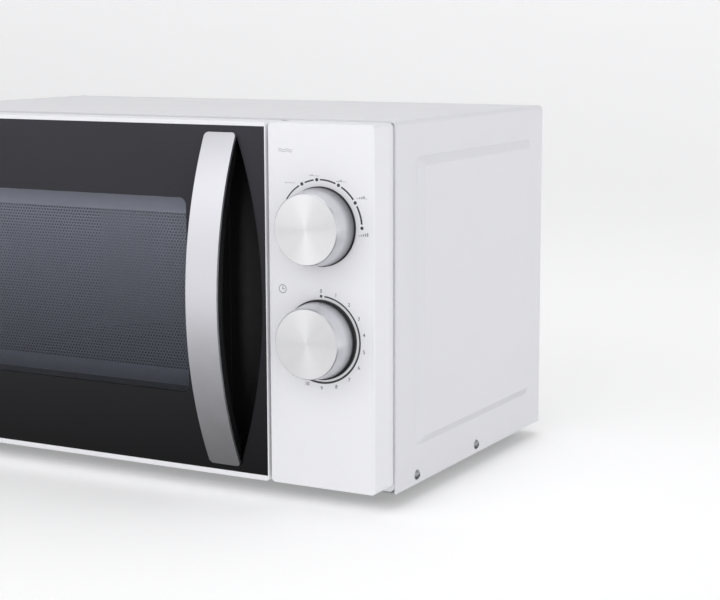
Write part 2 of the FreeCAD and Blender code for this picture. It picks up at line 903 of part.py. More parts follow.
def turn_about_centre(item, angle, radius):
    """Put an item on a circle about the turntable's axis, turned to point outwards."""
    rotation = FreeCAD.Rotation(Vector(0, 0, 1), angle).multiply(item.Placement.Rotation)
    item.Placement.Rotation = rotation
    swing = math.radians(angle)
    bind(
        item,
        Placement__Base__x=f"turn_x + ({radius}) * {math.cos(swing):.6f}",
        Placement__Base__y=f"turn_y + ({radius}) * {math.sin(swing):.6f}",
    )


# --- power supply, magnetron, cooling -----------------------------------------------------------


def waveguide():
    """Duct that carries the microwaves into the cavity, and the mica sheet over its mouth."""
    left = "cavity_right + plate_gauge"
    y = ("tube_y - guide_half_y", "tube_y + guide_half_y")
    z = ("tube_z - guide_half_z", "tube_z + guide_half_z")
    duct = block((left, YOKE_LEFT), y, z)
    hollow = block(
        (f"{left} - {PAST}", f"{YOKE_LEFT} - plate_gauge"),
        (f"{y[0]} + plate_gauge", f"{y[1]} - plate_gauge"),
        (f"{z[0]} + plate_gauge", f"{z[1]} - plate_gauge"),
    )
    sub_part(cut(duct, hollow, antenna_hole()), "waveguide")
    mica = block(
        ("cavity_right - mica_thick", "cavity_right"),
        (f"{y[0]} + cover_rim", f"{y[1]} - cover_rim"),
        (f"{z[0]} + 2 * cover_rim", f"{z[1]} - 2 * cover_rim"),
    )
    sub_part(mica, "waveguide_cover")


def antenna_hole():
    """The hole that the magnetron's antenna passes through."""
    return rod("antenna_radius + 1", f"2 * {PAST}", f"{YOKE_LEFT} - {PAST}", "tube_y", "tube_z", "x")


def magnetron():
    """Yoke, finned anode, antenna and filter box, with the overheat cutout on top."""
    y = ("tube_y - yoke_deep", "tube_y + yoke_deep")
    z = ("tube_z - yoke_half", "tube_z + yoke_half")
    yoke = block((YOKE_LEFT, YOKE_RIGHT), y, z)
    hollow = block(
        (f"{YOKE_LEFT} + yoke_gauge", f"{YOKE_RIGHT} - yoke_gauge"),
        (f"{y[0]} - {PAST}", f"{y[1]} + {PAST}"),
        (f"{z[0]} + yoke_gauge", f"{z[1]} - yoke_gauge"),
    )
    sub_part(cut(yoke, hollow, antenna_hole()), "magnetron_yoke")

    anode_x = f"{YOKE_LEFT} + yoke_gauge"
    parts = [rod("anode_radius", "yoke_wide - 2 * yoke_gauge", anode_x, "tube_y", "tube_z", "x")]
    fin_y = ("tube_y - fin_half_y", "tube_y + fin_half_y")
    fin_z = ("tube_z - fin_half_z", "tube_z + fin_half_z")
    for i in range(FINS):
        x = f"{anode_x} + fin_first + {i} * fin_gap"
        parts.append(block((x, f"{x} + fin_gauge"), fin_y, fin_z))
    sub_part(fuse(*parts), "magnetron_fins")

    reach = "(guide_depth - 8)"
    stem = rod("antenna_radius", reach, f"{anode_x} - {reach}", "tube_y", "tube_z", "x")
    tip = doc.addObject("Part::Sphere", "tip")
    place(tip, f"{anode_x} - {reach}", "tube_y", "tube_z")
    bind(tip, Radius="antenna_radius")
    sub_part(fuse(stem, tip), "magnetron_antenna")

    filter_box = block(
        (YOKE_RIGHT, f"{YOKE_RIGHT} + filter_box_wide"),
        ("tube_y - filter_box_half_y", "tube_y + filter_box_half_y"),
        ("tube_z - filter_box_half_z", "tube_z + filter_box_half_z"),
    )
    sub_part(filter_box, "magnetron_filter_box")

    middle = f"{YOKE_LEFT} + cutout_x"
    can = rod("cutout_radius", "cutout_tall", middle, "tube_y", z[1])
    blade_y = ("tube_y - 2.5", "tube_y + 2.5")
    blade_z = (f"{z[1]} + cutout_tall - 1", f"{z[1]} + cutout_tall - 1 + cutout_blade")
    blades = [
        block((f"{middle} + {side}", f"{middle} + {side} + 1"), blade_y, blade_z) for side in (-4, 3)
    ]
    sub_part(fuse(can, *blades), "thermal_cutout")


def transformer():
    """Shell-type core on the base, with two windings round its middle limb.

    Across the core lie an outer limb, a window, the double middle limb, a window and an outer limb.
    """
    left, low = "core_left", FLOOR
    high = f"{low} + core_tall"
    window = "core_window"
    far_window = f"{left} + 3 * core_limb + {window}"
    right = f"{far_window} + {window} + core_limb"
    core = block((left, right), ("core_front", "core_rear"), (low, high))
    through = (f"core_front - {PAST}", f"core_rear + {PAST}")
    inside = (f"{low} + core_limb", f"{high} - core_limb")
    windows = [
        block((start, f"{start} + {window}"), through, inside)
        for start in (f"{left} + core_limb", far_window)
    ]
    sub_part(cut(core, *windows), "transformer_core")

    limb_x = (f"{left} + core_limb + {window} - 0.3", f"{far_window} + 0.3")
    outer_x = (f"{left} + core_limb + 0.4", f"{far_window} + {window} - 0.4")
    coils = []
    for i in range(2):
        foot = f"{low} + core_limb + 1 + {i} * (coil_tall + coil_gap)"
        outer = block(
            outer_x, ("core_front - coil_proud", "core_rear + coil_proud"), (foot, f"{foot} + coil_tall")
        )
        inner = block(
            limb_x,
            ("core_front - 0.3", "core_rear + 0.3"),
            (f"{foot} - {PAST}", f"{foot} + coil_tall + {PAST}"),
        )
        coils.append(cut(outer, inner))
    sub_part(group(*coils), "transformer_windings")


def capacitor():
    """Oval high-voltage capacitor in its clamp, and the diode beside it."""
    low = f"{FLOOR} + 0.4"
    can = block(
        ("capacitor_left", "capacitor_right"),
        ("capacitor_y - capacitor_half", "capacitor_y + capacitor_half"),
        (low, f"{low} + capacitor_tall"),
    )
    can = rounded(can, "capacitor_round", lambda edge: runs_along(edge, Vector(1, 0, 0)))
    blade_x = ("capacitor_right", "capacitor_right + terminal_long")
    posts = [
        block(blade_x, (f"capacitor_y + {y}", f"capacitor_y + {y} + 1"), (f"{low} + 20", f"{low} + 26"))
        for y in (-9, 8)
    ]
    sub_part(fuse(can, *posts), "hv_capacitor")

    inner = "(capacitor_half + 0.4)"
    outer = f"({inner} + clamp_gauge)"
    strap = block(
        ("clamp_left", "clamp_left + clamp_wide"),
        (f"capacitor_y - {outer}", f"capacitor_y + {outer}"),
        (FLOOR, f"{low} + capacitor_tall + 0.4 + clamp_gauge"),
    )
    gap = block(
        (f"clamp_left - {PAST}", f"clamp_left + clamp_wide + {PAST}"),
        (f"capacitor_y - {inner}", f"capacitor_y + {inner}"),
        (f"{low} - 0.2", f"{low} + capacitor_tall + 0.4"),
    )
    sub_part(cut(strap, gap), "capacitor_clamp")

    diode_y = "capacitor_y + diode_from_capacitor"
    diode = rod("diode_radius", "diode_long", "diode_x", diode_y, f"{FLOOR} + diode_high", "x")
    tag = block(
        ("diode_x + 8", "diode_x + 10"),
        (f"{diode_y} - 3", f"{diode_y} + 3"),
        (FLOOR, f"{FLOOR} + diode_high"),
    )
    sub_part(fuse(diode, tag), "hv_diode")


def cooling():
    """Shroud on the rear of the bay, the fan's motor and its blades."""
    x = ("cavity_right + shroud_inset", "shroud_right")
    y = ("fan_y - shroud_front", "fan_y + fan_deep + 2")
    ring = block(x, y, ("tube_z - shroud_half", "tube_z + shroud_half"))
    bore = rod("fan_radius + 2", "4 * fan_deep", "bay_x", "fan_y - fan_deep", "tube_z", "y")
    arm = block(x, (y[1], f"{y[1]} + 2"), ("tube_z - 6", "tube_z + 6"))
    eye = rod("shroud_eye", "4 * fan_deep", "bay_x", "fan_y - fan_deep", "tube_z", "y")
    sub_part(cut(fuse(cut(ring, bore), arm), eye), "fan_shroud")

    motor = block(
        ("bay_x - fan_motor_half_x", "bay_x + fan_motor_half_x"),
        (f"{y[1]} + 2", f"{y[1]} + 2 + fan_motor_deep"),
        ("tube_z - fan_motor_half_z", "tube_z + fan_motor_half_z"),
    )
    seat = rod("axle_radius + running_gap", 8, "bay_x", f"{y[1]} + 1", "tube_z", "y")
    sub_part(cut(motor, seat), "fan_motor")

    hub = rod("fan_hub", "fan_deep", "bay_x", "fan_y", "tube_z", "y")
    shaft = rod("axle_radius", "fan_deep + 8", "bay_x", "fan_y + 1", "tube_z", "y")
    sub_part(fan_wheel(hub, shaft), "fan_blade")


def fan_wheel(hub, shaft):
    """Hub and shaft with pitched blades, each a block turned about the fan's axis."""
    root = SIZES["fan_hub"] - 2
    corner = Vector(0, -SIZES["fan_blade_wide"] / 2, -SIZES["fan_blade_thick"] / 2)
    blades = []
    for i in range(FAN_BLADES):
        blade = doc.addObject("Part::Box", "blade")
        bind(blade, Length="fan_radius - fan_hub + 2", Width="fan_blade_wide", Height="fan_blade_thick")
        pitch = FreeCAD.Rotation(Vector(1, 0, 0), FAN_PITCH)
        spin = FreeCAD.Rotation(Vector(0, 1, 0), 360 / FAN_BLADES * i)
        blade.Placement.Rotation = spin.multiply(pitch)
        start = spin.multVec(Vector(root, 0, 0)) + spin.multiply(pitch).multVec(corner)
        place(
            blade,
            f"bay_x + {start.x:.4f}",
            f"fan_y + fan_deep / 2 + {start.y:.4f}",
            f"tube_z + {start.z:.4f}",
        )
        blades.append(blade)
    return fuse(hub, shaft, *blades)


def small_electrics():
    """Noise filter board with its choke, chip and fuse, then the cavity lamp and its holder."""
    top = "(board_low + board_thick)"
    board = block(("board_left", "board_right"), ("board_front", "board_rear"), ("board_low", top))
    choke = rod(10, 12, "135", "104", top)
    chip = block(("156", "176"), ("92", "106"), (top, f"{top} + 12"))
    fuse_link = rod(3, 22, "160", "122", f"{top} + 2.4", "x")
    sub_part(fuse(board, choke, chip, fuse_link), "noise_filter_board")

    lamp_x = "cavity_right + lamp_from_cavity"
    holder = block(
        (f"{lamp_x} - holder_half", f"{lamp_x} + holder_half"),
        ("lamp_y", "lamp_y + holder_deep"),
        ("lamp_z - holder_half", "lamp_z + holder_half"),
    )
    sub_part(holder, "lamp_holder")
    profile = [(0, 0), (5, 0), (5, 6), (8, 10), (8, 17), (5, 21), (0, 22)]
    bulb = turned(profile, lamp_x, "lamp_y", "lamp_z", "y")
    # The profile's height runs forwards, away from the holder.
    bulb.Placement.Rotation = FreeCAD.Rotation(Vector(1, 0, 0), 90)
    sub_part(bulb, "oven_lamp")


# --- door ---------------------------------------------------------------------------------------


def recess_outline(grow, y):
    """Finger recess behind the handle: an arc on the right, hidden straight ends on the left."""
    deep = f"({y[1]}) - ({y[0]})"
    arc = rod(f"recess_arc + {grow}", deep, "recess_right - recess_arc", y[0], HANDLE_MID_Z, "y")
    tips = block(
        (f"tips_left - {grow}", f"recess_right + {PAST}"),
        y,
        (f"tips_low - {grow}", f"tips_high + {grow}"),
    )
    heart = block(
        (f"heart_left - {grow}", "recess_right"), y, (f"heart_low - {grow}", f"heart_high + {grow}")
    )
    return common(arc, fuse(tips, heart))


def window_block(grow, y):
    """The window's outline as a block, with rounded corners."""
    item = block(
        (f"window_left - {grow}", f"window_right + {grow}"),
        y,
        (f"window_low - {grow}", f"window_high + {grow}"),
    )
    return rounded(item, "window_round", lambda edge: runs_along(edge, Vector(0, 1, 0)))


def boss_rods(radius, y):
    """Rods at the handle's two fixing points."""
    x = "(handle_left + handle_right) / 2"
    heights = ("handle_low + boss_inset", "handle_high - boss_inset")
    return [rod(radius, f"({y[1]}) - ({y[0]})", x, y[0], z, "y") for z in heights]


def door_frame():
    """White moulded frame: rim, front wall, hinge blocks and the slotted strip at the latch."""
    outer = block((FASCIA_LEFT, "door_right"), (FASCIA, DOOR_REAR), (FASCIA_LOW, FASCIA_HIGH))
    pin_side = value(FASCIA_LEFT)
    rear = value(DOOR_REAR)

    def hinge_edge(edge):
        middle = edge.CenterOfMass
        return (
            runs_along(edge, Vector(0, 0, 1))
            and abs(middle.x - pin_side) < 2
            and abs(middle.y - rear) < 1
        )

    outer = rounded(outer, "hinge_corner", hinge_edge)
    outer = rounded(outer, "rim_round", lambda edge: runs_along(edge, Vector(0, 1, 0)))
    pocket = block(
        (f"{FASCIA_LEFT} + rim_side", "door_right - rim_side"),
        (f"{FASCIA} - {PAST}", GLASS_REAR),
        (f"{FASCIA_LOW} + rim_low", f"{FASCIA_HIGH} - rim_top"),
    )
    hollow = block(
        (f"{FASCIA_LEFT} + fascia_wall", "door_right - fascia_wall"),
        (SHELF_REAR, f"{DOOR_REAR} + {PAST}"),
        (f"{FASCIA_LOW} + rim_low", f"{FASCIA_HIGH} - rim_top"),
    )
    shelf = (f"{GLASS_REAR} - 1", f"{SHELF_REAR} + 1")
    window = window_block("(reveal_wall + 0.1)", shelf)
    recess = recess_outline("(recess_wall + 0.1)", shelf)
    screws = boss_rods("screw_radius + 0.5", shelf)
    shell = cut(outer, pocket, hollow, window, recess, *screws)

    left = (f"{FASCIA_LEFT} + 1", "screen_left - 0.4")
    pillar = block(left, (SHELF_REAR, DOOR_REAR), (f"{FASCIA_LOW} + 1", f"{FASCIA_HIGH} - 1"))
    pillar = rounded(pillar, "pillar_round", hinge_edge)
    strip = block(
        ("screen_right + 3.3", "door_right - 1"),
        (f"{DOOR_REAR} - 2.2", DOOR_REAR),
        (f"{FASCIA_LOW} + 1", f"{FASCIA_HIGH} - 1"),
    )
    slots_through = hook_slots((f"{DOOR_REAR} - {PAST}", f"{DOOR_REAR} + {PAST}"))
    lug_low = "(spring_low + spring_long + 0.4)"
    lug = block(
        ("latch_x - 6", "latch_x + 7"),
        (f"{DOOR_REAR} - 7.6", f"{DOOR_REAR} - 1"),
        (lug_low, f"{lug_low} + spring_lug"),
    )
    solid = fuse(shell, pillar, cut(strip, *slots_through), lug)
    notch_x = (f"{FASCIA_LEFT} - {PAST}", "pin_x + notch_reach")
    notch_y = ("pin_y - notch_reach", f"{DOOR_REAR} + {PAST}")
    low_notch = block(
        notch_x, notch_y, (f"{FASCIA_LOW} - {PAST}", "hinge_low + hinge_plate + hinge_gap")
    )
    high_notch = block(
        notch_x, notch_y, ("hinge_high - hinge_plate - hinge_gap", f"{FASCIA_HIGH} + {PAST}")
    )
    bores = [
        rod("pin_radius + running_gap", "pin_long + 2", "pin_x", "pin_y", z)
        for z in ("hinge_low + hinge_plate", "hinge_high - hinge_plate - pin_long - 2")
    ]
    sub_part(cut(solid, low_notch, high_notch, *bores), "door_frame")


def door_front():
    """Gloss black front panel, its window reveal, and the smoked pane let into it."""
    x = (f"{FASCIA_LEFT} + rim_side", "door_right - rim_side")
    z = (f"{FASCIA_LOW} + rim_low", f"{FASCIA_HIGH} - rim_top")
    sheet_solid = block(x, (FASCIA, GLASS_REAR), z)
    reveal_y = (f"{GLASS_REAR} - 1", f"{SCREEN_Y} - 0.2")
    reveal = window_block("reveal_wall", reveal_y)
    through = (f"{FASCIA} - {PAST}", f"{SCREEN_Y} + {PAST}")
    face = (f"{FASCIA} - {PAST}", f"{GLASS_REAR} + {PAST}")
    bosses = boss_rods("boss_radius + 0.05", face)
    panel = cut(sheet_solid, recess_outline("0", face), *bosses)
    sub_part(cut(fuse(panel, reveal), window_block("0", through)), "door_front_panel")
    sub_part(window_block("0", (f"{FASCIA} + 0.5", f"{GLASS_REAR}")), "door_window")


def handle_cup():
    """Black cup that closes the finger recess."""
    y = (GLASS_REAR, f"{FASCIA} + recess_depth + recess_wall")
    inner = (f"{GLASS_REAR} - {PAST}", f"{FASCIA} + recess_depth")
    cup = cut(recess_outline("recess_wall", y), recess_outline("0", inner))
    sub_part(cup, "handle_cup")


def bow(outer_drop, thick, inset, clip_y):
    """A stretch of a large ring seen from the side: the handle's bow, clipped at the door."""
    chord = "(handle_high - handle_low)"
    rise = "(handle_reach - end_proud)"
    radius = f"({chord} * {chord} / (8 * {rise}) + {rise} / 2)"
    centre_y = f"{FASCIA} - handle_reach + {radius}"
    x = (f"handle_left + {inset}", f"handle_right - {inset}")
    outer = rod(f"{radius} - {outer_drop}", f"({x[1]}) - ({x[0]})", x[0], centre_y, HANDLE_MID_Z, "x")
    inner_long = f"handle_right - handle_left + 2 * {PAST}"
    inner_radius = f"{radius} - {outer_drop} - {thick}"
    inner = rod(inner_radius, inner_long, f"handle_left - {PAST}", centre_y, HANDLE_MID_Z, "x")
    keep = block(
        x,
        (f"{FASCIA} - handle_reach - {PAST}", clip_y),
        (f"handle_low + {inset}", f"handle_high - {inset}"),
    )
    return common(cut(outer, inner), keep)


def handle():
    """Bowed bridge handle: dark core with a satin metal strip on its front, and two screws."""
    strip = bow("0", "strip_thick", "0", f"{FASCIA} - 0.05")
    strip = rounded(strip, "strip_round", lambda edge: runs_along(edge, Vector(0, 1, 0)))
    sub_part(strip, "handle_strip")
    core = bow("strip_thick", "core_thick", "0.5", FASCIA)
    bosses = boss_rods("boss_radius", (f"{FASCIA} - 1", GLASS_REAR))
    blind = boss_rods("screw_radius + 0.02", (f"{FASCIA} - 1.5", f"{GLASS_REAR} + 1"))
    sub_part(cut(fuse(core, *bosses), *blind), "handle_core")
    shanks = boss_rods("screw_radius", (f"{FASCIA} - 1.4", f"{SHELF_REAR} + 1"))
    heads = boss_rods("screw_head", (SHELF_REAR, f"{SHELF_REAR} + screw_head_thick"))
    sub_part(group(*[fuse(shank, head) for shank, head in zip(shanks, heads)]), "handle_screws")


def door_inner():
    """Steel screen pan behind the window, and the plastic cover over the choke."""
    rear = f"{DOOR_REAR} - cover_thick - cover_gap"
    pan = block(("screen_left", "screen_right"), (SCREEN_Y, rear), ("screen_low", "screen_high"))
    hollow = block(
        ("screen_left + screen_rim", "screen_right - screen_rim"),
        (f"{SCREEN_Y} + screen_gauge", f"{rear} + {PAST}"),
        ("screen_low + screen_rim", "screen_high - screen_rim"),
    )
    sub_part(cut(pan, hollow), "door_screen")
    cover = block(
        ("screen_left", "screen_right + 3"),
        (f"{DOOR_REAR} - cover_thick", DOOR_REAR),
        ("screen_low", "screen_high"),
    )
    opening = window_block("0", (f"{DOOR_REAR} - 2 * {PAST}", f"{DOOR_REAR} + {PAST}"))
    sub_part(cut(cover, opening), "door_choke_cover")


def hinges():
    """Two steel hinge brackets whose pins enter the door."""
    for label, low, pin_z in (
        ("lower_hinge", "hinge_low", "hinge_low"),
        ("upper_hinge", "hinge_high - hinge_plate", "hinge_high - hinge_plate - pin_long"),
    ):
        arm = block(
            ("pin_x - hinge_arm_half", "pin_x + hinge_arm_half"),
            ("pin_y - hinge_arm_half", FRAME_REAR),
            (low, f"{low} + hinge_plate"),
        )
        foot = f"{low} - 1" if label == "lower_hinge" else f"{low} + hinge_plate + 1 - hinge_flange_tall"
        flange = block(
            ("pin_x - hinge_arm_half", "cavity_left - 2"),
            (FRAME_REAR, f"{FRAME_REAR} + hinge_flange_gauge"),
            (foot, f"{foot} + hinge_flange_tall"),
        )
        pin = rod("pin_radius", "pin_long + hinge_plate", "pin_x", "pin_y", pin_z)
        sub_part(fuse(arm, flange, pin), label)


# --- latch and switches ---------------------------------------------------------------------------


def latch_hooks():
    """Sliding latch bar in the door with two hooks that reach back through the frame."""
    x = ("latch_x - latch_width / 2", "latch_x + latch_width / 2")
    bar_rear = f"({DOOR_REAR} - bar_from_rear)"
    bar = block(
        ("latch_x - 3", "latch_x + 4"),
        (f"{bar_rear} - bar_thick", bar_rear),
        ("lower_hook_low - 4", "bar_top"),
    )
    parts = [bar]
    for hook in ("lower", "upper"):
        low, high = f"{hook}_hook_low", f"{hook}_hook_high"
        parts.append(block(x, (f"{bar_rear} - 1", "latch_tip"), (low, high)))
        parts.append(block(x, ("latch_tip - 4", "latch_tip"), (f"{low} - tooth_drop", high)))
    sub_part(fuse(*parts), "latch_hooks")


def latch_spring():
    """Light compression spring above the latch bar."""
    middle = "(latch_x + 0.5)"
    depth = f"{DOOR_REAR} - spring_from_rear"
    helix = doc.addObject("Part::Helix", "coil_path")
    place(helix, middle, depth, "spring_low")
    bind(helix, Pitch="spring_pitch", Height="spring_long", Radius="spring_radius")
    wire = doc.addObject("Part::Circle", "wire_section")
    wire.Placement = FreeCAD.Placement(Vector(), FreeCAD.Rotation(Vector(1, 0, 0), 90))
    place(wire, f"{middle} + spring_radius", depth, "spring_low")
    bind(wire, Radius="spring_wire")
    coil = doc.addObject("Part::Sweep", "coil")
    coil.Sections = [wire]
    doc.recompute()
    coil.Spine = (helix, [f"Edge{i + 1}" for i in range(len(helix.Shape.Edges))])
    coil.Solid = True
    coil.Frenet = True
    sub_part(coil, "latch_spring")


def latch_board():
    """Moulded board behind the frame: wall, two catch ledges and the switches' seats."""
    wall = block(
        ("latch_x - board_wall_left", "latch_x - board_wall_right"),
        (f"{FRAME_REAR} + 0.1", "board_wall_rear"),
        ("board_wall_low", "board_wall_high"),
    )
    ledges = []
    for hook in ("lower", "upper"):
        top = f"{hook}_hook_low - tooth_drop - ledge_clear"
        ledge = block(
            ("latch_x - board_wall_right", "latch_x + board_wall_left"),
            ("latch_tip - ledge_from_tip - ledge_deep", "latch_tip - ledge_from_tip"),
            (f"{top} - 6.6", top),
        )
        ledges.append(ledge)
    sub_part(fuse(wall, *ledges), "latch_board")


def switches():
    """Three snap switches that the hooks press, each with its own button."""
    spots = {
        "primary": "(upper_hook_low + upper_hook_high) / 2",
        "secondary": "lower_hook_low + 5",
        "monitor": "lower_hook_high - 4",
    }
    front = "(latch_tip + switch_from_tip)"
    housings = []
    for name, z in spots.items():
        case = block(
            ("latch_x - switch_half_x", "latch_x + switch_half_x"),
            (front, f"{front} + switch_deep"),
            (f"{z} - switch_half_z", f"{z} + switch_half_z"),
        )
        pocket = block(
            (f"latch_x - button_half_x - {CLEAR}", f"latch_x + button_half_x + {CLEAR}"),
            (f"{front} - {PAST}", f"{front} + 5"),
            (f"{z} - button_half_z - {CLEAR}", f"{z} + button_half_z + {CLEAR}"),
        )
        housings.append(cut(case, pocket))
        button = block(
            ("latch_x - button_half_x", "latch_x + button_half_x"),
            ("latch_tip + button_gap", f"{front} + 5 - button_travel - 0.4"),
            (f"{z} - button_half_z", f"{z} + button_half_z"),
        )
        sub_part(button, f"{name}_switch_button")
    sub_part(group(*housings), "door_switches")


# --- controls --------------------------------------------------------------------------------------


def control_panel():
    """White moulded panel that holds the dials, open at the rear."""
    outer = block(("panel_left", FASCIA_RIGHT), (FASCIA, f"{SEAM} - seam_gap"), (FASCIA_LOW, FASCIA_HIGH))
    outer = rounded(outer, "panel_round", lambda edge: runs_along(edge, Vector(0, 1, 0)))
    front = value(FASCIA)

    def front_edge(edge):
        return abs(edge.BoundBox.YMin - front) < 0.01 and edge.BoundBox.YLength < 0.01

    outer = rounded(outer, "panel_edge", front_edge)
    inner = block(
        ("panel_left + fascia_wall", f"{FASCIA_RIGHT} - fascia_wall"),
        (f"{FASCIA} + fascia_wall", f"{SEAM} + {PAST}"),
        (f"{FASCIA_LOW} + fascia_wall", f"{FASCIA_HIGH} - fascia_wall"),
    )
    holes = [
        rod("shaft_radius + 1.5", f"4 * {PAST}", "dial_x", f"{FASCIA} - {PAST}", f"{dial}_dial_z", "y")
        for dial in ("power", "timer")
    ]
    sub_part(cut(outer, inner, *holes), "control_panel")


def dial_case(z, half, deep):
    """The square housing behind a dial, against the panel's inside."""
    inner_face = f"{FASCIA} + fascia_wall"
    return block(
        (f"dial_x - {half}", f"dial_x + {half}"),
        (inner_face, f"{inner_face} + {deep}"),
        (f"{z} - {half}", f"{z} + {half}"),
    )


def dials():
    """Timer with its bell drum, power selector, and for each a shaft, a knob and its metal cap."""
    inner_face = f"{FASCIA} + fascia_wall"
    bore = "shaft_radius + running_gap"
    timer = dial_case("timer_dial_z", "timer_half", "timer_deep")
    bell = rod("bell_radius", "bell_deep", "dial_x", f"{inner_face} + timer_deep", "timer_dial_z", "y")
    timer_bore = rod(bore, "shaft_in_case + 3", "dial_x", f"{inner_face} - 1", "timer_dial_z", "y")
    sub_part(cut(fuse(timer, bell), timer_bore), "timer_unit")
    selector = dial_case("power_dial_z", "selector_half", "selector_deep")
    power_bore = rod(bore, "shaft_in_case + 3", "dial_x", f"{inner_face} - 1", "power_dial_z", "y")
    sub_part(cut(selector, power_bore), "power_selector")

    shaft_long = "knob_high - shaft_in_knob + fascia_wall + shaft_in_case"
    for dial in ("timer", "power"):
        z = f"{dial}_dial_z"
        shaft = rod("shaft_radius", shaft_long, "dial_x", f"{KNOB_FACE_Y} + shaft_in_knob", z, "y")
        sub_part(shaft, f"{dial}_shaft")
        back = "knob_high - knob_gap"
        profile = [
            ("shaft_radius + 0.02", "shaft_in_knob"),
            ("shaft_radius + 0.02", back),
            ("shaft_radius + 3", back),
            ("shaft_radius + 3", "knob_wall + 1.5"),
            ("knob_face - knob_wall", "knob_wall + 1.5"),
            ("knob_base - knob_wall", back),
            ("knob_base", back),
            ("knob_base - 0.3", "knob_high - 5"),
            ("knob_face", 0.6),
            ("knob_face - 0.35", 0),
            ("knob_cap + 0.03", 0),
            ("knob_cap + 0.03", "knob_cap_thick"),
            (0, "knob_cap_thick"),
            (0, "shaft_in_knob"),
        ]
        knob = turned(profile, "dial_x", KNOB_FACE_Y, z, "y")
        notch = block(
            ("-notch_half", "notch_half"),
            (f"{FASCIA} - knob_gap - notch_deep", f"{FASCIA} + 1"),
            ("knob_base - 3", "knob_base + 3"),
        )
        notch.Placement.Rotation = FreeCAD.Rotation(Vector(0, 1, 0), POINTER_AT_REST[dial])
        swing = math.radians(POINTER_AT_REST[dial])
        out = "(knob_base - 1.5)"
        place(
            notch,
            f"dial_x + {out} * {math.sin(swing):.6f} - notch_half * {math.cos(swing):.6f}",
            f"{FASCIA} - knob_gap - notch_deep",
            f"{z} + {out} * {math.cos(swing):.6f} + notch_half * {math.sin(swing):.6f}",
        )
        sub_part(cut(knob, notch), f"{dial}_knob")
        cap = rod("knob_cap", "knob_cap_thick - 0.05", "dial_x", f"{KNOB_FACE_Y} + 0.05", z, "y")
        sub_part(cap, f"{dial}_knob_cap")


def check_and_write():
    """Stop if an object failed, then write each sub-part's solids."""
    doc.recompute()
    for item in doc.Objects:
        if "Invalid" in item.State or "Error" in item.State:
            raise RuntimeError(f"{item.Name} ({item.Label}) failed: {item.State}")
    os.makedirs("parts", exist_ok=True)
    for item in sub_parts:
        shape = item.Shape
        if shape.isNull() or not shape.isValid() or not shape.Solids:
            raise RuntimeError(f"{item.Label} has no valid solid")
        shape.exportStep(f"parts/{item.Label}.step")
    print(len(sub_parts), "sub-parts written")


fill_sheet()
for build in (
    cabinet_wrap,
    base_plate,
    feet,
    back_plate,
    cord_gland,
    casing_screws,
    front_frame,
    cavity_shell,
    turntable,
    waveguide,
    magnetron,
    transformer,
    capacitor,
    cooling,
    small_electrics,
    door_frame,
    door_front,
    handle_cup,
    handle,
    door_inner,
    hinges,
    latch_hooks,
    latch_spring,
    latch_board,
    switches,
    control_panel,
    dials,
):
    build()
check_and_write()
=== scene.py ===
"""The looks of the countertop microwave oven: its materials, its fine pieces and the studio.

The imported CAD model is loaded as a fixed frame. Nearly every node keeps its shape and gets a procedural
finish from its material slot. The perforated door screen and the latch spring replace their plain nodes,
and the dials' black skirts and the control panel's print are added. Each of these is a mesh placed from
the boxes of the nodes that it belongs to. All sizes are in metres.
"""

import math

import bpy
from mathutils import Matrix, Vector


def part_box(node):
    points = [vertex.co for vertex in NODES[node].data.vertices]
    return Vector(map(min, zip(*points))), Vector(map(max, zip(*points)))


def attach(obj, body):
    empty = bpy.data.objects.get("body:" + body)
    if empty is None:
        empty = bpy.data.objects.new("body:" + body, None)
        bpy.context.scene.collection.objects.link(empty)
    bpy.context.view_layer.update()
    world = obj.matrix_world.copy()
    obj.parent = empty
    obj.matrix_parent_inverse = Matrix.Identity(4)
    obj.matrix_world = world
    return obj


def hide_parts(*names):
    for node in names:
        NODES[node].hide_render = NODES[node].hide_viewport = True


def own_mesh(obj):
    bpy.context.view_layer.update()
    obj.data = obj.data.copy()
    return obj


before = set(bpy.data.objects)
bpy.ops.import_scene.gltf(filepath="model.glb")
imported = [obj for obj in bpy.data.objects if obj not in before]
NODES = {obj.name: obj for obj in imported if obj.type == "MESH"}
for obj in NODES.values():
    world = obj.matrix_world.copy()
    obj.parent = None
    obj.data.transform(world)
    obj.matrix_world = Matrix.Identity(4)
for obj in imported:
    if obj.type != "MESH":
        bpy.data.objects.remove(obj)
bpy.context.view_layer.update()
MM = 0.001


# ---------------------------------------------------------------- procedural finishes


def srgb(red, green, blue):
    """A display colour, 0 to 255 a channel, as the linear colour that a shader takes."""

    def linear(level):
        level /= 255
        return level / 12.92 if level <= 0.04045 else ((level + 0.055) / 1.055) ** 2.4

    return (linear(red), linear(green), linear(blue), 1.0)


def scaled(colour, gain):
    """A colour made lighter or darker, its alpha kept."""
    return (*(min(1.0, channel * gain) for channel in colour[:3]), 1.0)


def between(ends, share):
    """The number at a share of the way between two."""
    return ends[0] + (ends[1] - ends[0]) * share


def grey_output(node):
    """A pattern node's grey output, which has either of two names."""
    return node.outputs["Factor" if "Factor" in node.outputs else "Fac"]


BEVEL_SAMPLES = 4
EDGE_FACING = (0.75, 0.99)


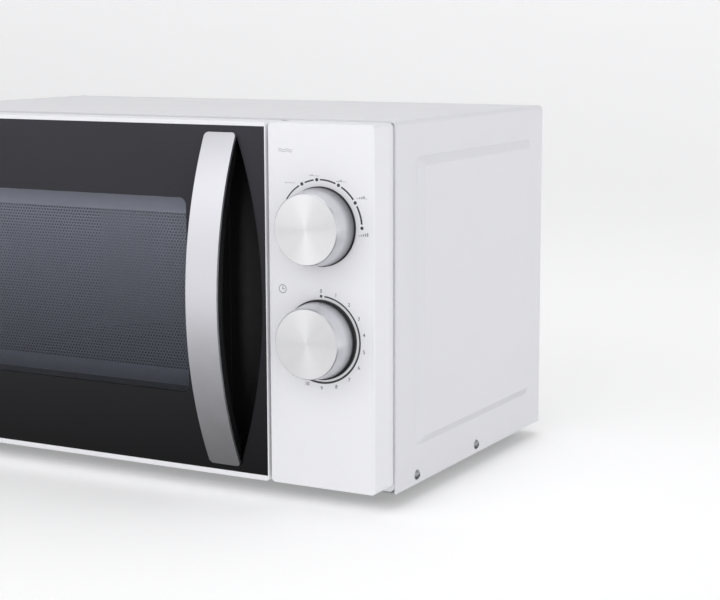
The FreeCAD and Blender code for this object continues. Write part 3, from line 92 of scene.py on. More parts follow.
class Finish:
    """One procedural material: a Principled shader and the patterns that feed it, in real sizes."""

    def __init__(self, name, colour, **sockets):
        self.material = bpy.data.materials.new(name)
        self.material.use_nodes = True
        self.tree = self.material.node_tree
        self.shader = self.tree.nodes["Principled BSDF"]
        self.output = self.tree.nodes["Material Output"]
        self.colour = colour
        self.shader.inputs["Base Color"].default_value = colour
        for name_of, value in sockets.items():
            self.shader.inputs[name_of.replace("_", " ")].default_value = value
        self.last_normal = None
        self.coordinates = None

    def add(self, kind, **settings):
        """A new shader node with its settings."""
        node = self.tree.nodes.new("ShaderNode" + kind)
        for name, value in settings.items():
            setattr(node, name, value)
        return node

    def link(self, source, target):
        self.tree.links.new(source, target)

    def feed(self, socket, value):
        """Links a socket to another one, or sets it to a plain value."""
        if isinstance(value, bpy.types.NodeSocket):
            self.link(value, socket)
        else:
            socket.default_value = value

    def place(self):
        """The point on the piece, in metres, as it is at rest."""
        if self.coordinates is None:
            self.coordinates = self.add("TexCoord").outputs["Object"]
        return self.coordinates

    def vector(self, operation, first, second=(0, 0, 0)):
        """A vector operation on sockets or plain triples."""
        node = self.add("VectorMath", operation=operation)
        for socket, value in zip(node.inputs, (first, second)):
            self.feed(socket, value)
        return node.outputs["Value" if operation in ("LENGTH", "DOT_PRODUCT") else "Vector"]

    def noise(self, wavelength, detail=2.0, stretch=(1, 1, 1)):
        """Smooth noise of that wavelength, longer along an axis by its stretch."""
        node = self.add("TexNoise")
        node.inputs["Scale"].default_value = 1 / wavelength
        node.inputs["Detail"].default_value = detail
        self.link(self.vector("DIVIDE", self.place(), stretch), node.inputs["Vector"])
        return grey_output(node)

    def cells(self, size, output="Color"):
        """Voronoi cells of about that size."""
        node = self.add("TexVoronoi")
        node.inputs["Scale"].default_value = 1 / size
        self.link(self.place(), node.inputs["Vector"])
        return node.outputs[output]

    def spread(self, factor, low, high, start=0.3, end=0.7):
        """A pattern's middle range, start to end, spread over low to high."""
        node = self.add("MapRange")
        self.link(factor, node.inputs["Value"])
        for name, value in (
            ("From Min", start),
            ("From Max", end),
            ("To Min", low),
            ("To Max", high),
        ):
            node.inputs[name].default_value = value
        return node.outputs["Result"]

    def mix(self, factor, first, second, blend="MIX"):
        """A colour between two, or the two blended, each a socket or a plain colour."""
        node = self.add("Mix", data_type="RGBA", blend_type=blend)
        self.feed(node.inputs["Factor"], factor)
        tones = [socket for socket in node.inputs if socket.type == "RGBA"]
        for socket, value in zip(tones, (first, second)):
            self.feed(socket, value)
        return next(socket for socket in node.outputs if socket.type == "RGBA")

    def tint(self, factor, depth):
        """Varies the base colour by plus and minus depth as the pattern goes."""
        self.paint(self.mix(factor, scaled(self.colour, 1 - depth), scaled(self.colour, 1 + depth)))

    def paint(self, socket):
        """Takes the surface's colour from a socket."""
        self.link(socket, self.shader.inputs["Base Color"])

    def rough(self, factor, low, high):
        """Roughness from low to high as the pattern goes."""
        self.link(self.spread(factor, low, high), self.shader.inputs["Roughness"])

    def relief(self, height, depth):
        """Raises the surface by up to depth where the pattern is high."""
        node = self.add("Bump")
        node.inputs["Distance"].default_value = depth
        self.link(height, node.inputs["Height"])
        if self.last_normal is not None:
            self.link(self.last_normal, node.inputs["Normal"])
        self.last_normal = node.outputs["Normal"]
        self.link(self.last_normal, self.shader.inputs["Normal"])

    def along(self, axis):
        """How far along an axis the point is."""
        apart = self.add("SeparateXYZ")
        self.link(self.place(), apart.inputs[0])
        return apart.outputs[axis]

    def rise(self, low, high):
        """0 at the low height and 1 at the high one."""
        return self.spread(self.along("Z"), 0.0, 1.0, low, high)

    def softened(self, radius):
        """The surface's direction, averaged over the radius."""
        bevel = self.add("Bevel", samples=BEVEL_SAMPLES)
        bevel.inputs["Radius"].default_value = radius
        return bevel.outputs["Normal"]

    def edges(self, radius):
        """1 along edges within the radius and 0 on open faces."""
        true_normal = self.add("NewGeometry").outputs["Normal"]
        facing = self.vector("DOT_PRODUCT", self.softened(radius), true_normal)
        return self.spread(facing, 1.0, 0.0, *EDGE_FACING)

    def rounded(self, radius):
        """Lets light run over an edge as if it was rounded to the radius."""
        self.last_normal = self.softened(radius)
        self.link(self.last_normal, self.shader.inputs["Normal"])


PAINT = srgb(229, 229, 233)
PLASTIC_WHITE = srgb(241, 241, 244)
BLACK = srgb(17, 17, 19)
SILVER = srgb(228, 228, 232)
ALUMINIUM = srgb(248, 248, 250)
BARREL = srgb(224, 224, 228)
ZINC = srgb(168, 170, 172)


def white_paint():
    """Baked white paint on sheet steel: a faint orange peel, clouding and soft edges."""
    f = Finish("white_paint", PAINT, Roughness=0.36, Coat_Weight=0.25, Coat_Roughness=0.22)
    f.rounded(0.5 * MM)
    f.tint(f.noise(90 * MM, 3), 0.012)
    f.rough(f.noise(18 * MM, 3), 0.32, 0.42)
    f.relief(f.noise(2.4 * MM, 2), 0.012 * MM)
    return f.material


def white_plastic():
    """The moulded front: a little whiter and glossier than the paint."""
    f = Finish("white_plastic", PLASTIC_WHITE, Roughness=0.3, Coat_Weight=0.1, Coat_Roughness=0.2)
    f.rounded(0.5 * MM)
    f.tint(f.noise(60 * MM, 2), 0.008)
    f.rough(f.noise(18 * MM, 3), 0.3, 0.38)
    f.relief(f.noise(2.4 * MM, 2), 0.012 * MM)
    return f.material


DOOR_LOW, DOOR_HIGH = (corner.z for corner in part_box("door_front_panel"))
PANE_IOR = 1.27
PANE_GRAIN = (1, 1, 2.5)
FILM_SHARE = 0.06


def black_gloss():
    """The door's glossy smoked panel, with light painted into its colour: lighter towards the top."""
    f = Finish("black_gloss", srgb(14, 14, 17), Roughness=0.12, IOR=PANE_IOR)
    # painted light: the colour runs from near black at the door's bottom to a lighter grey at its top
    painted_light_fade = f.mix(f.rise(DOOR_LOW, DOOR_HIGH), srgb(9, 9, 11), srgb(56, 55, 61))
    haze = f.mix(f.noise(50 * MM, 2), srgb(238, 238, 238), srgb(255, 255, 255))
    f.paint(f.mix(1.0, painted_light_fade, haze, "MULTIPLY"))
    f.rough(f.noise(35 * MM, 5, PANE_GRAIN), 0.1, 0.18)
    f.relief(f.noise(40 * MM, 1), 0.01 * MM)
    return f.material


def smoked_glass():
    """The window pane: it dims what is behind it, with painted light making it dim less towards the top,
    and it reflects like the panel.
    """
    f = Finish("smoked_glass", srgb(30, 31, 36), Roughness=0.1, IOR=PANE_IOR)
    f.rough(f.noise(35 * MM, 5, PANE_GRAIN), 0.06, 0.14)
    through = f.add("BsdfTransparent")
    # painted light: the pane passes more light towards the door's top than at its bottom
    f.link(
        f.mix(f.rise(DOOR_LOW, DOOR_HIGH), srgb(186, 188, 194), srgb(252, 253, 255)),
        through.inputs["Color"],
    )
    film = f.add("MixShader")
    film.inputs["Fac"].default_value = FILM_SHARE
    f.link(through.outputs["BSDF"], film.inputs[1])
    f.link(f.shader.outputs["BSDF"], film.inputs[2])
    gloss = f.add("BsdfGlossy")
    f.link(f.spread(f.noise(35 * MM, 5), 0.06, 0.14), gloss.inputs["Roughness"])
    mirror = f.add("MixShader")
    fresnel = f.add("Fresnel")
    fresnel.inputs["IOR"].default_value = PANE_IOR
    f.link(fresnel.outputs["Fac"], mirror.inputs["Fac"])
    f.link(film.outputs["Shader"], mirror.inputs[1])
    f.link(gloss.outputs["BSDF"], mirror.inputs[2])
    f.link(mirror.outputs["Shader"], f.output.inputs["Surface"])
    return f.material


def screen_steel():
    """The perforated screen: grey baked enamel on steel."""
    f = Finish("screen_steel", srgb(214, 216, 226), Roughness=0.5)
    f.tint(f.noise(12 * MM, 3), 0.05)
    f.rough(f.noise(1.5 * MM, 2), 0.45, 0.6)
    f.relief(f.noise(0.4 * MM, 2), 0.01 * MM)
    return f.material


def moulded(name, colour, roughness, grain=0.6 * MM, depth=0.012 * MM):
    """Moulded plastic with a spark-eroded grain."""
    f = Finish(name, colour, Roughness=roughness)
    f.rounded(0.3 * MM)
    f.tint(f.noise(25 * MM, 3), 0.05)
    f.rough(f.noise(6 * MM, 3), roughness - 0.05, roughness + 0.07)
    f.relief(f.noise(grain, 3), depth)
    return f.material


def satin_silver():
    """Silver satin plating, with metal flake and a trace of wear on its edges."""
    f = Finish("satin_silver", SILVER, Metallic=1.0, Roughness=0.36)
    f.rounded(0.3 * MM)
    worn = f.edges(0.6 * MM)
    flake = f.spread(f.noise(0.25 * MM, 2), 0.0, 1.0)
    body = f.mix(flake, scaled(SILVER, 0.97), scaled(SILVER, 1.03))
    f.paint(f.mix(worn, body, srgb(226, 227, 229)))
    f.rough(f.noise(14 * MM, 4), 0.34, 0.4)
    f.relief(f.noise(30 * MM, 1), 0.01 * MM)
    return f.material


def brushed_aluminium():
    """Sheet or drawn aluminium brushed along its length."""
    f = Finish("brushed_aluminium", ALUMINIUM, Metallic=1.0, Roughness=0.32)
    f.rounded(0.2 * MM)
    lines = f.noise(0.16 * MM, 2, (1, 1, 60))
    f.paint(f.mix(lines, scaled(ALUMINIUM, 0.88), scaled(ALUMINIUM, 1.1)))
    f.rough(lines, 0.29, 0.4)
    f.relief(lines, 0.004 * MM)
    return f.material


RING_SPACING = 0.22 * MM


def spun_aluminium(name, centre):
    """A dial's face, turned on a lathe: rings about the dial's own axis, which is along Y."""
    f = Finish(name, ALUMINIUM, Metallic=1.0, Roughness=0.3, Anisotropic=0.85)
    from_axis = f.vector("MULTIPLY", f.vector("SUBTRACT", f.place(), centre), (1, 0, 1))
    radius = f.vector("LENGTH", from_axis)
    rings = f.add("TexNoise", noise_dimensions="1D")
    rings.inputs["Scale"].default_value = 1 / RING_SPACING
    rings.inputs["Detail"].default_value = 3.0
    f.link(radius, rings.inputs["W"])
    grooves = grey_output(rings)
    f.paint(f.mix(f.spread(grooves, 0, 1), scaled(ALUMINIUM, 0.9), scaled(ALUMINIUM, 1.08)))
    f.rough(grooves, 0.28, 0.36)
    f.relief(grooves, 0.004 * MM)
    turned = f.add("VectorTransform", vector_type="VECTOR", convert_from="OBJECT", convert_to="WORLD")
    f.link(f.vector("CROSS_PRODUCT", from_axis, (0, 1, 0)), turned.inputs["Vector"])
    f.link(f.vector("NORMALIZE", turned.outputs["Vector"]), f.shader.inputs["Tangent"])
    return f.material


BARREL_PAINTED_SHADE = srgb(96, 96, 102)
BARREL_PAINTED_SHADE_FROM = 0.45


def knob_barrel(name, front, back):
    """A dial's plated barrel: bright at its face, with shade painted into its colour where it nears the
    panel.
    """
    f = Finish(name, BARREL, Metallic=1.0, Roughness=0.3)
    f.rounded(0.3 * MM)
    shade_from = between((front, back), BARREL_PAINTED_SHADE_FROM)
    # painted shade: the barrel's colour darkens from partway along it to its back, by the panel
    painted_shade_near_panel = f.spread(f.along("Y"), 0.0, 1.0, shade_from, back)
    lines = f.noise(0.3 * MM, 2, (60, 1, 60))
    turned = f.mix(lines, scaled(BARREL, 0.94), scaled(BARREL, 1.06))
    f.paint(f.mix(painted_shade_near_panel, turned, BARREL_PAINTED_SHADE))
    f.rough(lines, 0.28, 0.38)
    f.relief(lines, 0.003 * MM)
    return f.material


def zinc_steel():
    """Zinc-plated sheet and screws: spangle, and brighter rubbed edges."""
    f = Finish("zinc_steel", ZINC, Metallic=1.0, Roughness=0.35)
    f.rounded(0.25 * MM)
    spangle = f.spread(f.cells(5 * MM), 0.0, 1.0, 0.2, 0.8)
    clouds = f.mix(spangle, scaled(ZINC, 0.9), scaled(ZINC, 1.08))
    f.paint(f.mix(f.edges(0.5 * MM), clouds, srgb(205, 207, 208)))
    f.rough(f.noise(7 * MM, 4), 0.28, 0.46)
    f.relief(f.noise(0.6 * MM, 3), 0.008 * MM)
    return f.material


def cavity_enamel():
    """The cooking cavity: pale grey powder enamel with fine darker specks."""
    enamel = srgb(196, 197, 198)
    f = Finish("cavity_enamel", enamel, Roughness=0.4)
    f.rounded(0.6 * MM)
    specks = f.spread(f.noise(0.7 * MM, 3), 0.0, 1.0, 0.62, 0.7)
    f.paint(f.mix(specks, enamel, srgb(128, 130, 134)))
    f.rough(f.noise(4 * MM, 3), 0.34, 0.5)
    f.relief(f.noise(1.6 * MM, 2), 0.02 * MM)
    return f.material


def mica():
    """The waveguide cover: pressed mica, silver-brown flakes in layers."""
    f = Finish("mica", srgb(176, 164, 140), Roughness=0.42, Coat_Weight=0.3)
    flakes = f.cells(3 * MM)
    f.paint(f.mix(flakes, srgb(150, 137, 112), srgb(203, 194, 172)))
    f.rough(flakes, 0.3, 0.6)
    f.relief(f.noise(2 * MM, 4), 0.03 * MM)
    return f.material


def clear_glass():
    """Pressed clear glass, faintly green, with its slight ripple."""
    f = Finish("clear_glass", srgb(238, 246, 243), Roughness=0.03, IOR=1.5)
    f.shader.inputs["Transmission Weight"].default_value = 1.0
    f.tint(f.noise(40 * MM, 2), 0.01)
    f.rough(f.noise(8 * MM, 3), 0.02, 0.06)
    f.relief(f.noise(7 * MM, 2), 0.02 * MM)
    return f.material


WIRE_TURN = 0.55 * MM


def copper_wire():
    """Enamelled copper, wound turn by turn."""
    f = Finish("copper_wire", srgb(176, 98, 52), Metallic=0.9, Roughness=0.3)
    f.rounded(0.5 * MM)
    turns = f.add("TexWave", wave_type="BANDS", bands_direction="Z", wave_profile="SIN")
    turns.inputs["Scale"].default_value = 1 / (2 * math.pi * WIRE_TURN)
    turns.inputs["Distortion"].default_value = 0.6
    f.link(f.place(), turns.inputs["Vector"])
    wound = grey_output(turns)
    f.paint(f.mix(wound, srgb(112, 55, 28), srgb(196, 118, 64)))
    f.rough(f.noise(3 * MM, 2), 0.24, 0.4)
    f.relief(wound, 0.25 * MM)
    return f.material


def core_steel():
    """Stacked laminations, varnished, each sheet's edge showing."""
    f = Finish("core_steel", srgb(92, 90, 88), Metallic=0.8, Roughness=0.45)
    sheets = f.noise(0.5 * MM, 1, (60, 1, 60))
    f.paint(f.mix(sheets, srgb(66, 63, 61), srgb(116, 114, 111)))
    f.rough(f.noise(5 * MM, 3), 0.35, 0.6)
    f.relief(sheets, 0.05 * MM)
    return f.material


def board_green():
    """A printed board: green resist over copper tracks."""
    f = Finish("board_green", srgb(38, 92, 54), Roughness=0.35, Coat_Weight=0.3)
    tracks = f.spread(f.cells(4 * MM, "Distance"), 0.0, 1.0, 0.35, 0.42)
    f.paint(f.mix(tracks, srgb(30, 78, 46), srgb(62, 120, 70)))
    f.rough(f.noise(4 * MM, 2), 0.28, 0.42)
    f.relief(tracks, 0.03 * MM)
    return f.material


FINISHES = {
    "white_paint": white_paint(),
    "white_plastic": white_plastic(),
    "black_gloss": black_gloss(),
    "smoked_glass": smoked_glass(),
    "screen_steel": screen_steel(),
    "grey_plastic": moulded("grey_plastic", srgb(132, 134, 138), 0.45),
    "black_plastic": moulded("black_plastic", BLACK, 0.38),
    "satin_silver": satin_silver(),
    "brushed_aluminium": brushed_aluminium(),
    "zinc_steel": zinc_steel(),
    "cavity_enamel": cavity_enamel(),
    "mica": mica(),
    "clear_glass": clear_glass(),
    "copper_wire": copper_wire(),
    "core_steel": core_steel(),
    "board_green": board_green(),
    "white_moulding": moulded("white_moulding", srgb(226, 225, 219), 0.42),
    "rubber_grey": moulded("rubber_grey", srgb(96, 97, 100), 0.7, 0.9 * MM, 0.03 * MM),
}


def middle(node):
    """The middle of a node's box."""
    low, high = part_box(node)
    return (low + high) / 2


def dress(node, material):
    """Gives a CAD node its material."""
    for slot in NODES[node].material_slots:
        slot.material = material


for node_name, node_object in NODES.items():
    slot_name = node_object.material_slots[0].material.name.split(".")[0]
    dress(node_name, FINISHES[slot_name])

for dial in ("timer", "power"):
    dress(f"{dial}_knob_cap", spun_aluminium(f"spun_{dial}", middle(f"{dial}_knob_cap")))
    barrel_front, barrel_back = (corner.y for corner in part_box(f"{dial}_knob"))
    dress(f"{dial}_knob", knob_barrel(f"barrel_{dial}", barrel_front, barrel_back))


# ---------------------------------------------------------------- pieces


SHARP_ANGLE = 40


def piece(name, mesh, body, material, smooth=False):
    """A new object from a mesh, on its body and material."""
    made = bpy.data.objects.new(name, mesh)
    bpy.context.scene.collection.objects.link(made)
    mesh.materials.append(material)
    if smooth:
        mesh.shade_smooth()
        mesh.set_sharp_from_angle(angle=math.radians(SHARP_ANGLE))
    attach(made, body)
    return made


def mesh_of(name, points, faces):
    """A mesh from its points and faces."""
    mesh = bpy.data.meshes.new(name)
    mesh.from_pydata(points, [], faces)
    mesh.validate()
    mesh.update()
    return mesh


SCREEN_GAUGE = 0.8 * MM
SCREEN_PITCH = 2.45 * MM
SCREEN_HOLE = 0.92 * MM
SCREEN_SIDE_REACH = 4 * MM
SCREEN_END_MARGIN = 11 * MM
ROW_HEIGHT = SCREEN_PITCH * math.sqrt(3) / 2
HOLE_SIDES = 6
HOLE_FIRST_CORNER = 210


class ScreenPan:
    """The mesh of a thin pan whose floor has rows of six-sided holes, each row set half a pitch on.

    The floor is a grid of cells, one round each hole. Its corners are counted in half pitches and rows,
    and each is there twice, on the front layer (0) and on the back one (1).
    """

    def __init__(self, low, high, first_corner, columns, rows):
        self.low, self.high = low, high
        self.left, self.bottom = first_corner
        self.columns, self.rows = columns, rows
        self.layers = (low.y, low.y + SCREEN_GAUGE)
        self.points, self.faces, self.index = [], [], {}

    def corner(self, half_steps, row, layer):
        """A cell corner's index, the point added when it is first asked for."""
        key = (half_steps, row, layer)
        if key not in self.index:
            self.index[key] = len(self.points)
            across = self.left + half_steps * SCREEN_PITCH / 2
            self.points.append((across, self.layers[layer], self.bottom + row * ROW_HEIGHT))
        return self.index[key]

    def both_sides(self, ring):
        """A face on the front and its twin on the back."""
        self.faces.append([self.corner(*at, 0) for at in ring])
        self.faces.append([self.corner(*at, 1) for at in reversed(ring)])

    def cell(self, first, row):
        """One cell with its hole: the rim of steel on both layers, and the hole's wall."""
        ring = [(first + step, row) for step in (0, 1, 2)]
        ring += [(first + step, row + 1) for step in (2, 1, 0)]
        across = self.left + (first + 1) * SCREEN_PITCH / 2
        up = self.bottom + (row + 0.5) * ROW_HEIGHT
        start = len(self.points)
        for layer_y in self.layers:
            for k in range(HOLE_SIDES):
                angle = math.radians(HOLE_FIRST_CORNER + k * 360 / HOLE_SIDES)
                self.points.append(
                    (
                        across + SCREEN_HOLE * math.cos(angle),
                        layer_y,
                        up + SCREEN_HOLE * math.sin(angle),
                    )
                )
        back_start = start + HOLE_SIDES
        for k in range(HOLE_SIDES):
            after = (k + 1) % HOLE_SIDES
            front = [self.corner(*ring[k], 0), self.corner(*ring[after], 0)]
            back = [self.corner(*ring[k], 1), self.corner(*ring[after], 1)]
            self.faces.append([*front, start + after, start + k])
            self.faces.append([back[1], back[0], back_start + k, back_start + after])
            self.faces.append([start + k, start + after, back_start + after, back_start + k])

    def floor(self):
        """All cells, with a plain half cell at each end of every other row."""
        for row in range(self.rows):
            shift = row % 2
            if shift:
                for edge in (0, 2 * self.columns - 1):
                    ring = [(edge, row), (edge + 1, row), (edge + 1, row + 1), (edge, row + 1)]
                    self.both_sides(ring)
            for column in range(self.columns - shift):
                self.cell(2 * column + shift, row)

    def loop(self, y, inset):
        """Four corners of the pan's outline at a depth, set in by an inset."""
        start = len(self.points)
        near, far = self.low + Vector((inset, 0, inset)), self.high - Vector((inset, 0, inset))
        for x, z in ((near.x, near.z), (far.x, near.z), (far.x, far.z), (near.x, far.z)):
            self.points.append((x, y, z))
        return range(start, start + 4)

    def wall(self):
        """The pan's sides, turned back from the floor. Gives their front outline and their inner one."""
        loops = (
            self.loop(self.layers[0], 0),
            self.loop(self.high.y, 0),
            self.loop(self.high.y, SCREEN_GAUGE),
            self.loop(self.layers[1], SCREEN_GAUGE),
        )
        for outer, inner in zip(loops, loops[1:]):
            for k in range(4):
                after = (k + 1) % 4
                self.faces.append([outer[after], outer[k], inner[k], inner[after]])
        return loops[0], loops[-1]

    def margins(self, layer, rim):
        """The plain border between the cells and the rim, on one layer."""
        end = 2 * self.columns
        below = [self.corner(step, 0, layer) for step in range(end + 1)]
        above = [self.corner(step, self.rows, layer) for step in range(end + 1)]
        left_side = [self.corner(0, row, layer) for row in range(self.rows + 1)]
        right_side = [self.corner(end, row, layer) for row in range(self.rows + 1)]
        borders = (
            [rim[0], rim[1], *reversed(below)],
            [rim[2], rim[3], *above],
            [rim[1], rim[2], *reversed(right_side)],
            [rim[3], rim[0], *left_side],
        )
        self.faces.extend(border if layer == 0 else border[::-1] for border in borders)


def perforated_screen():
    """The steel screen behind the window, with its holes where the pane shows them."""
    low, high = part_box("door_screen")
    pane_low, pane_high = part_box("door_window")
    left = pane_low.x - SCREEN_SIDE_REACH
    bottom = pane_low.z + SCREEN_END_MARGIN
    columns = int((pane_high.x + SCREEN_SIDE_REACH - left) / SCREEN_PITCH)
    rows = int((pane_high.z - SCREEN_END_MARGIN - bottom) / ROW_HEIGHT)
    pan = ScreenPan(low, high, (left, bottom), columns, rows)
    pan.floor()
    for layer, rim in enumerate(pan.wall()):
        pan.margins(layer, rim)
    screen = piece(
        "perforated_screen",
        mesh_of("perforated_screen", pan.points, pan.faces),
        "door",
        FINISHES["screen_steel"],
    )
    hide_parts("door_screen")


perforated_screen()

PANEL_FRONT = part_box("control_panel")[0].y
SKIRT_REACH = {"timer": 0.9 * MM, "power": 0.5 * MM}
SKIRT_HEIGHT = {"timer": 2.2 * MM, "power": 1.2 * MM}
SKIRT_ROUND = 0.35 * MM
SKIRT_ROUND_MIDDLE = 0.3 * SKIRT_ROUND
SKIRT_GAP = 0.15 * MM
TURN_STEPS = 128


def lathe(name, profile, axis, body, slot):
    """A closed ring of (radius, y) corners, turned about a line along Y through the axis point."""
    points, faces = [], []
    count = len(profile)
    for step in range(TURN_STEPS):
        angle = 2 * math.pi * step / TURN_STEPS
        for radius, y in profile:
            points.append((axis.x + radius * math.sin(angle), y, axis.z + radius * math.cos(angle)))
        here, after = step * count, (step + 1) % TURN_STEPS * count
        for k in range(count):
            j = (k + 1) % count
            faces.append((here + k, here + j, after + j, after + k))
    return piece(name, mesh_of(name, points, faces), body, FINISHES[slot], smooth=True)


def dial_skirt(dial):
    """The black ring under a dial's silver barrel, turning with it."""
    low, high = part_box(f"{dial}_knob")
    inner = (high.x - low.x) / 2 - SKIRT_GAP
    outer = (high.x - low.x) / 2 + SKIRT_REACH[dial]
    back = PANEL_FRONT - SKIRT_GAP
    front = back - SKIRT_HEIGHT[dial]
    profile = [
        (inner, back),
        (outer, back),
        (outer, front + SKIRT_ROUND),
        (outer - SKIRT_ROUND_MIDDLE, front + SKIRT_ROUND_MIDDLE),
        (outer - SKIRT_ROUND, front),
        (inner, front),
    ]
    lathe(f"{dial}_skirt", profile, middle(f"{dial}_knob"), f"{dial}_dial", "black_plastic")


dial_skirt("timer")
dial_skirt("power")

SPRING_WIRE = 0.35 * MM
SPRING_PITCH = 2.4 * MM
TURN_POINTS = 20
WIRE_POINTS = 10


def spring_mesh(low, high):
    """A round wire wound up through a box, its ends closed."""
    axis = (low + high) / 2
    winding = (high.x - low.x) / 2 - SPRING_WIRE
    rise = SPRING_PITCH / TURN_POINTS
    rings = round((high.z - low.z - 2 * SPRING_WIRE) / rise) + 1
    points, faces = [], []
    for step in range(rings):
        turn = 2 * math.pi * step / TURN_POINTS
        for k in range(WIRE_POINTS):
            around = 2 * math.pi * k / WIRE_POINTS
            reach = winding + SPRING_WIRE * math.cos(around)
            height = low.z + SPRING_WIRE + rise * step + SPRING_WIRE * math.sin(around)
            points.append((axis.x + reach * math.cos(turn), axis.y + reach * math.sin(turn), height))
    for step in range(rings - 1):
        here, after = step * WIRE_POINTS, (step + 1) * WIRE_POINTS
        for k in range(WIRE_POINTS):
            j = (k + 1) % WIRE_POINTS
            faces.append((here + k, after + k, after + j, here + j))
    last = (rings - 1) * WIRE_POINTS
    faces.append(tuple(range(WIRE_POINTS)))
    faces.append(tuple(last + k for k in reversed(range(WIRE_POINTS))))
    return mesh_of("latch_coil_spring", points, faces)


def coil_spring():
    """The latch's spring: a wound round wire in place of its plain node, on the door."""
    low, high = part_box("latch_spring")
    spring = piece(
        "latch_coil_spring",
        spring_mesh(low, high),
        "door",
        FINISHES["zinc_steel"],
        smooth=True,
    )
    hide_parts("latch_spring")
    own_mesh(spring)


coil_spring()

INK_PROUD = 0.06 * MM
INK_SUNK = 0.05 * MM
ARC_STEP = 3.0


def ink(name, colour):
    """Pad-printed ink: slightly uneven in tone, matt, with softly ragged cover."""
    f = Finish(name, colour, Roughness=0.5)
    f.tint(f.noise(1.2 * MM, 3), 0.12)
    f.rough(f.noise(2 * MM, 2), 0.4, 0.6)
    f.relief(f.noise(0.3 * MM, 2), 0.004 * MM)
    return f.material


def clock(centre, radius, angle):
    """The panel place at a clock angle about a centre."""
    turn = math.radians(angle)
    return (centre[0] + radius * math.sin(turn), centre[1] + radius * math.cos(turn))


def dial_centre(dial):
    """Where a dial's axis meets the panel, as (x, z)."""
    axis = middle(f"{dial}_knob")
    return (axis.x, axis.z)


DOT_SIDES = 20
NUMERAL_CAP = 0.73
NUMERAL_SMOOTHNESS = 3


class Print:
    """Raised print on the panel's front, drawn in clock angles and panel places, as one mesh."""

    def __init__(self):
        self.points = []
        self.faces = []

    def solid(self, outline):
        """A flat shape from its (x, z) corners, with its sides and back."""
        start, count = len(self.points), len(outline)
        for y in (PANEL_FRONT - INK_PROUD, PANEL_FRONT + INK_SUNK):
            self.points.extend((x, y, z) for x, z in outline)
        self.faces.append([start + k for k in range(count)])
        self.faces.append([start + count + k for k in reversed(range(count))])
        for k in range(count):
            j = (k + 1) % count
            self.faces.append([start + j, start + k, start + count + k, start + count + j])

    def arc(self, centre, radius, widths, turn):
        """A curved line from the first to the second clock angle, as wide at each end as widths say."""
        steps = max(2, round(abs(turn[1] - turn[0]) / ARC_STEP))
        outer, inner = [], []
        for step in range(steps + 1):
            angle = between(turn, step / steps)
            half = between(widths, step / steps) / 2
            outer.append(clock(centre, radius + half, angle))
            inner.append(clock(centre, radius - half, angle))
        for k in range(steps):
            self.solid([inner[k], inner[k + 1], outer[k + 1], outer[k]])

    def dot(self, centre, radius):
        """A filled circle."""
        turns = [2 * math.pi * k / DOT_SIDES for k in range(DOT_SIDES)]
        self.solid(
            [(centre[0] + radius * math.cos(t), centre[1] + radius * math.sin(t)) for t in turns]
        )

    def bar(self, low, high):
        """A filled rectangle between two corners."""
        self.solid([low, (high[0], low[1]), high, (low[0], high[1])])

    def number(self, text, centre, height):
        """A number in the built-in font, made into part of this mesh."""
        curve = bpy.data.curves.new("numeral", "FONT")
        curve.body = text
        curve.size = height / NUMERAL_CAP
        curve.align_x = "CENTER"
        curve.extrude = (INK_PROUD + INK_SUNK) / 2
        curve.resolution_u = NUMERAL_SMOOTHNESS
        holder = bpy.data.objects.new("numeral", curve)
        bpy.context.scene.collection.objects.link(holder)
        graph = bpy.context.evaluated_depsgraph_get()
        flat = bpy.data.meshes.new_from_object(holder.evaluated_get(graph))
        start = len(self.points)
        depth = PANEL_FRONT - INK_PROUD + curve.extrude
        for vertex in flat.vertices:
            across, up, out = vertex.co
            self.points.append((centre[0] + across, depth - out, centre[1] - height / 2 + up))
        self.faces.extend([start + v for v in face.vertices] for face in flat.polygons)
        bpy.data.objects.remove(holder)
        bpy.data.curves.remove(curve)
        bpy.data.meshes.remove(flat)

    def finish(self, name, material):
        """Makes all that was drawn into one piece."""
        made = mesh_of(name, self.points, self.faces)
        return piece(name, made, "root", material)


DARK_INK = ink("dark_ink", srgb(66, 66, 70))
GREY_INK = ink("grey_ink", srgb(150, 150, 154))

POWER_RADIUS = 30.4 * MM
POWER_DOTS = (-27, -5, 26, 57, 89)
POWER_DOT_RADIUS = 1.15 * MM
POWER_LINE = (0.85 * MM, 1.25 * MM)
POWER_LINE_GAP = 4.5
POWER_TAIL = -57


def power_print():
    """The power dial's broken arc, with a dot at each setting."""
    centre = dial_centre("power")
    drawn = Print()
    for dot in POWER_DOTS:
        drawn.dot(clock(centre, POWER_RADIUS, dot), POWER_DOT_RADIUS)
    ends = (POWER_TAIL - POWER_LINE_GAP, *POWER_DOTS)
    whole = ends[-1] - ends[0]
    for start, stop in zip(ends, ends[1:]):
        turn = (start + POWER_LINE_GAP, stop - POWER_LINE_GAP)
        widths = [between(POWER_LINE, (angle - ends[0]) / whole) for angle in turn]
        drawn.arc(centre, POWER_RADIUS, widths, turn)
    drawn.finish("power_scale", DARK_INK)


TIMER_RADIUS = 28.7 * MM
TIMER_LINE = (0.95 * MM, 1.45 * MM)
TIMER_LINE_TURN = (5, 200)
TIMER_NUMBER_RADIUS = 32.2 * MM
TIMER_NUMBER_HEIGHT = 2.5 * MM
SINGLE_MINUTES = range(0, 11)
SINGLE_MINUTE_TURN = 20
FIVE_MINUTES = range(15, 31, 5)
FIVE_MINUTES_FROM = 220
FIVE_MINUTES_TURN = 20


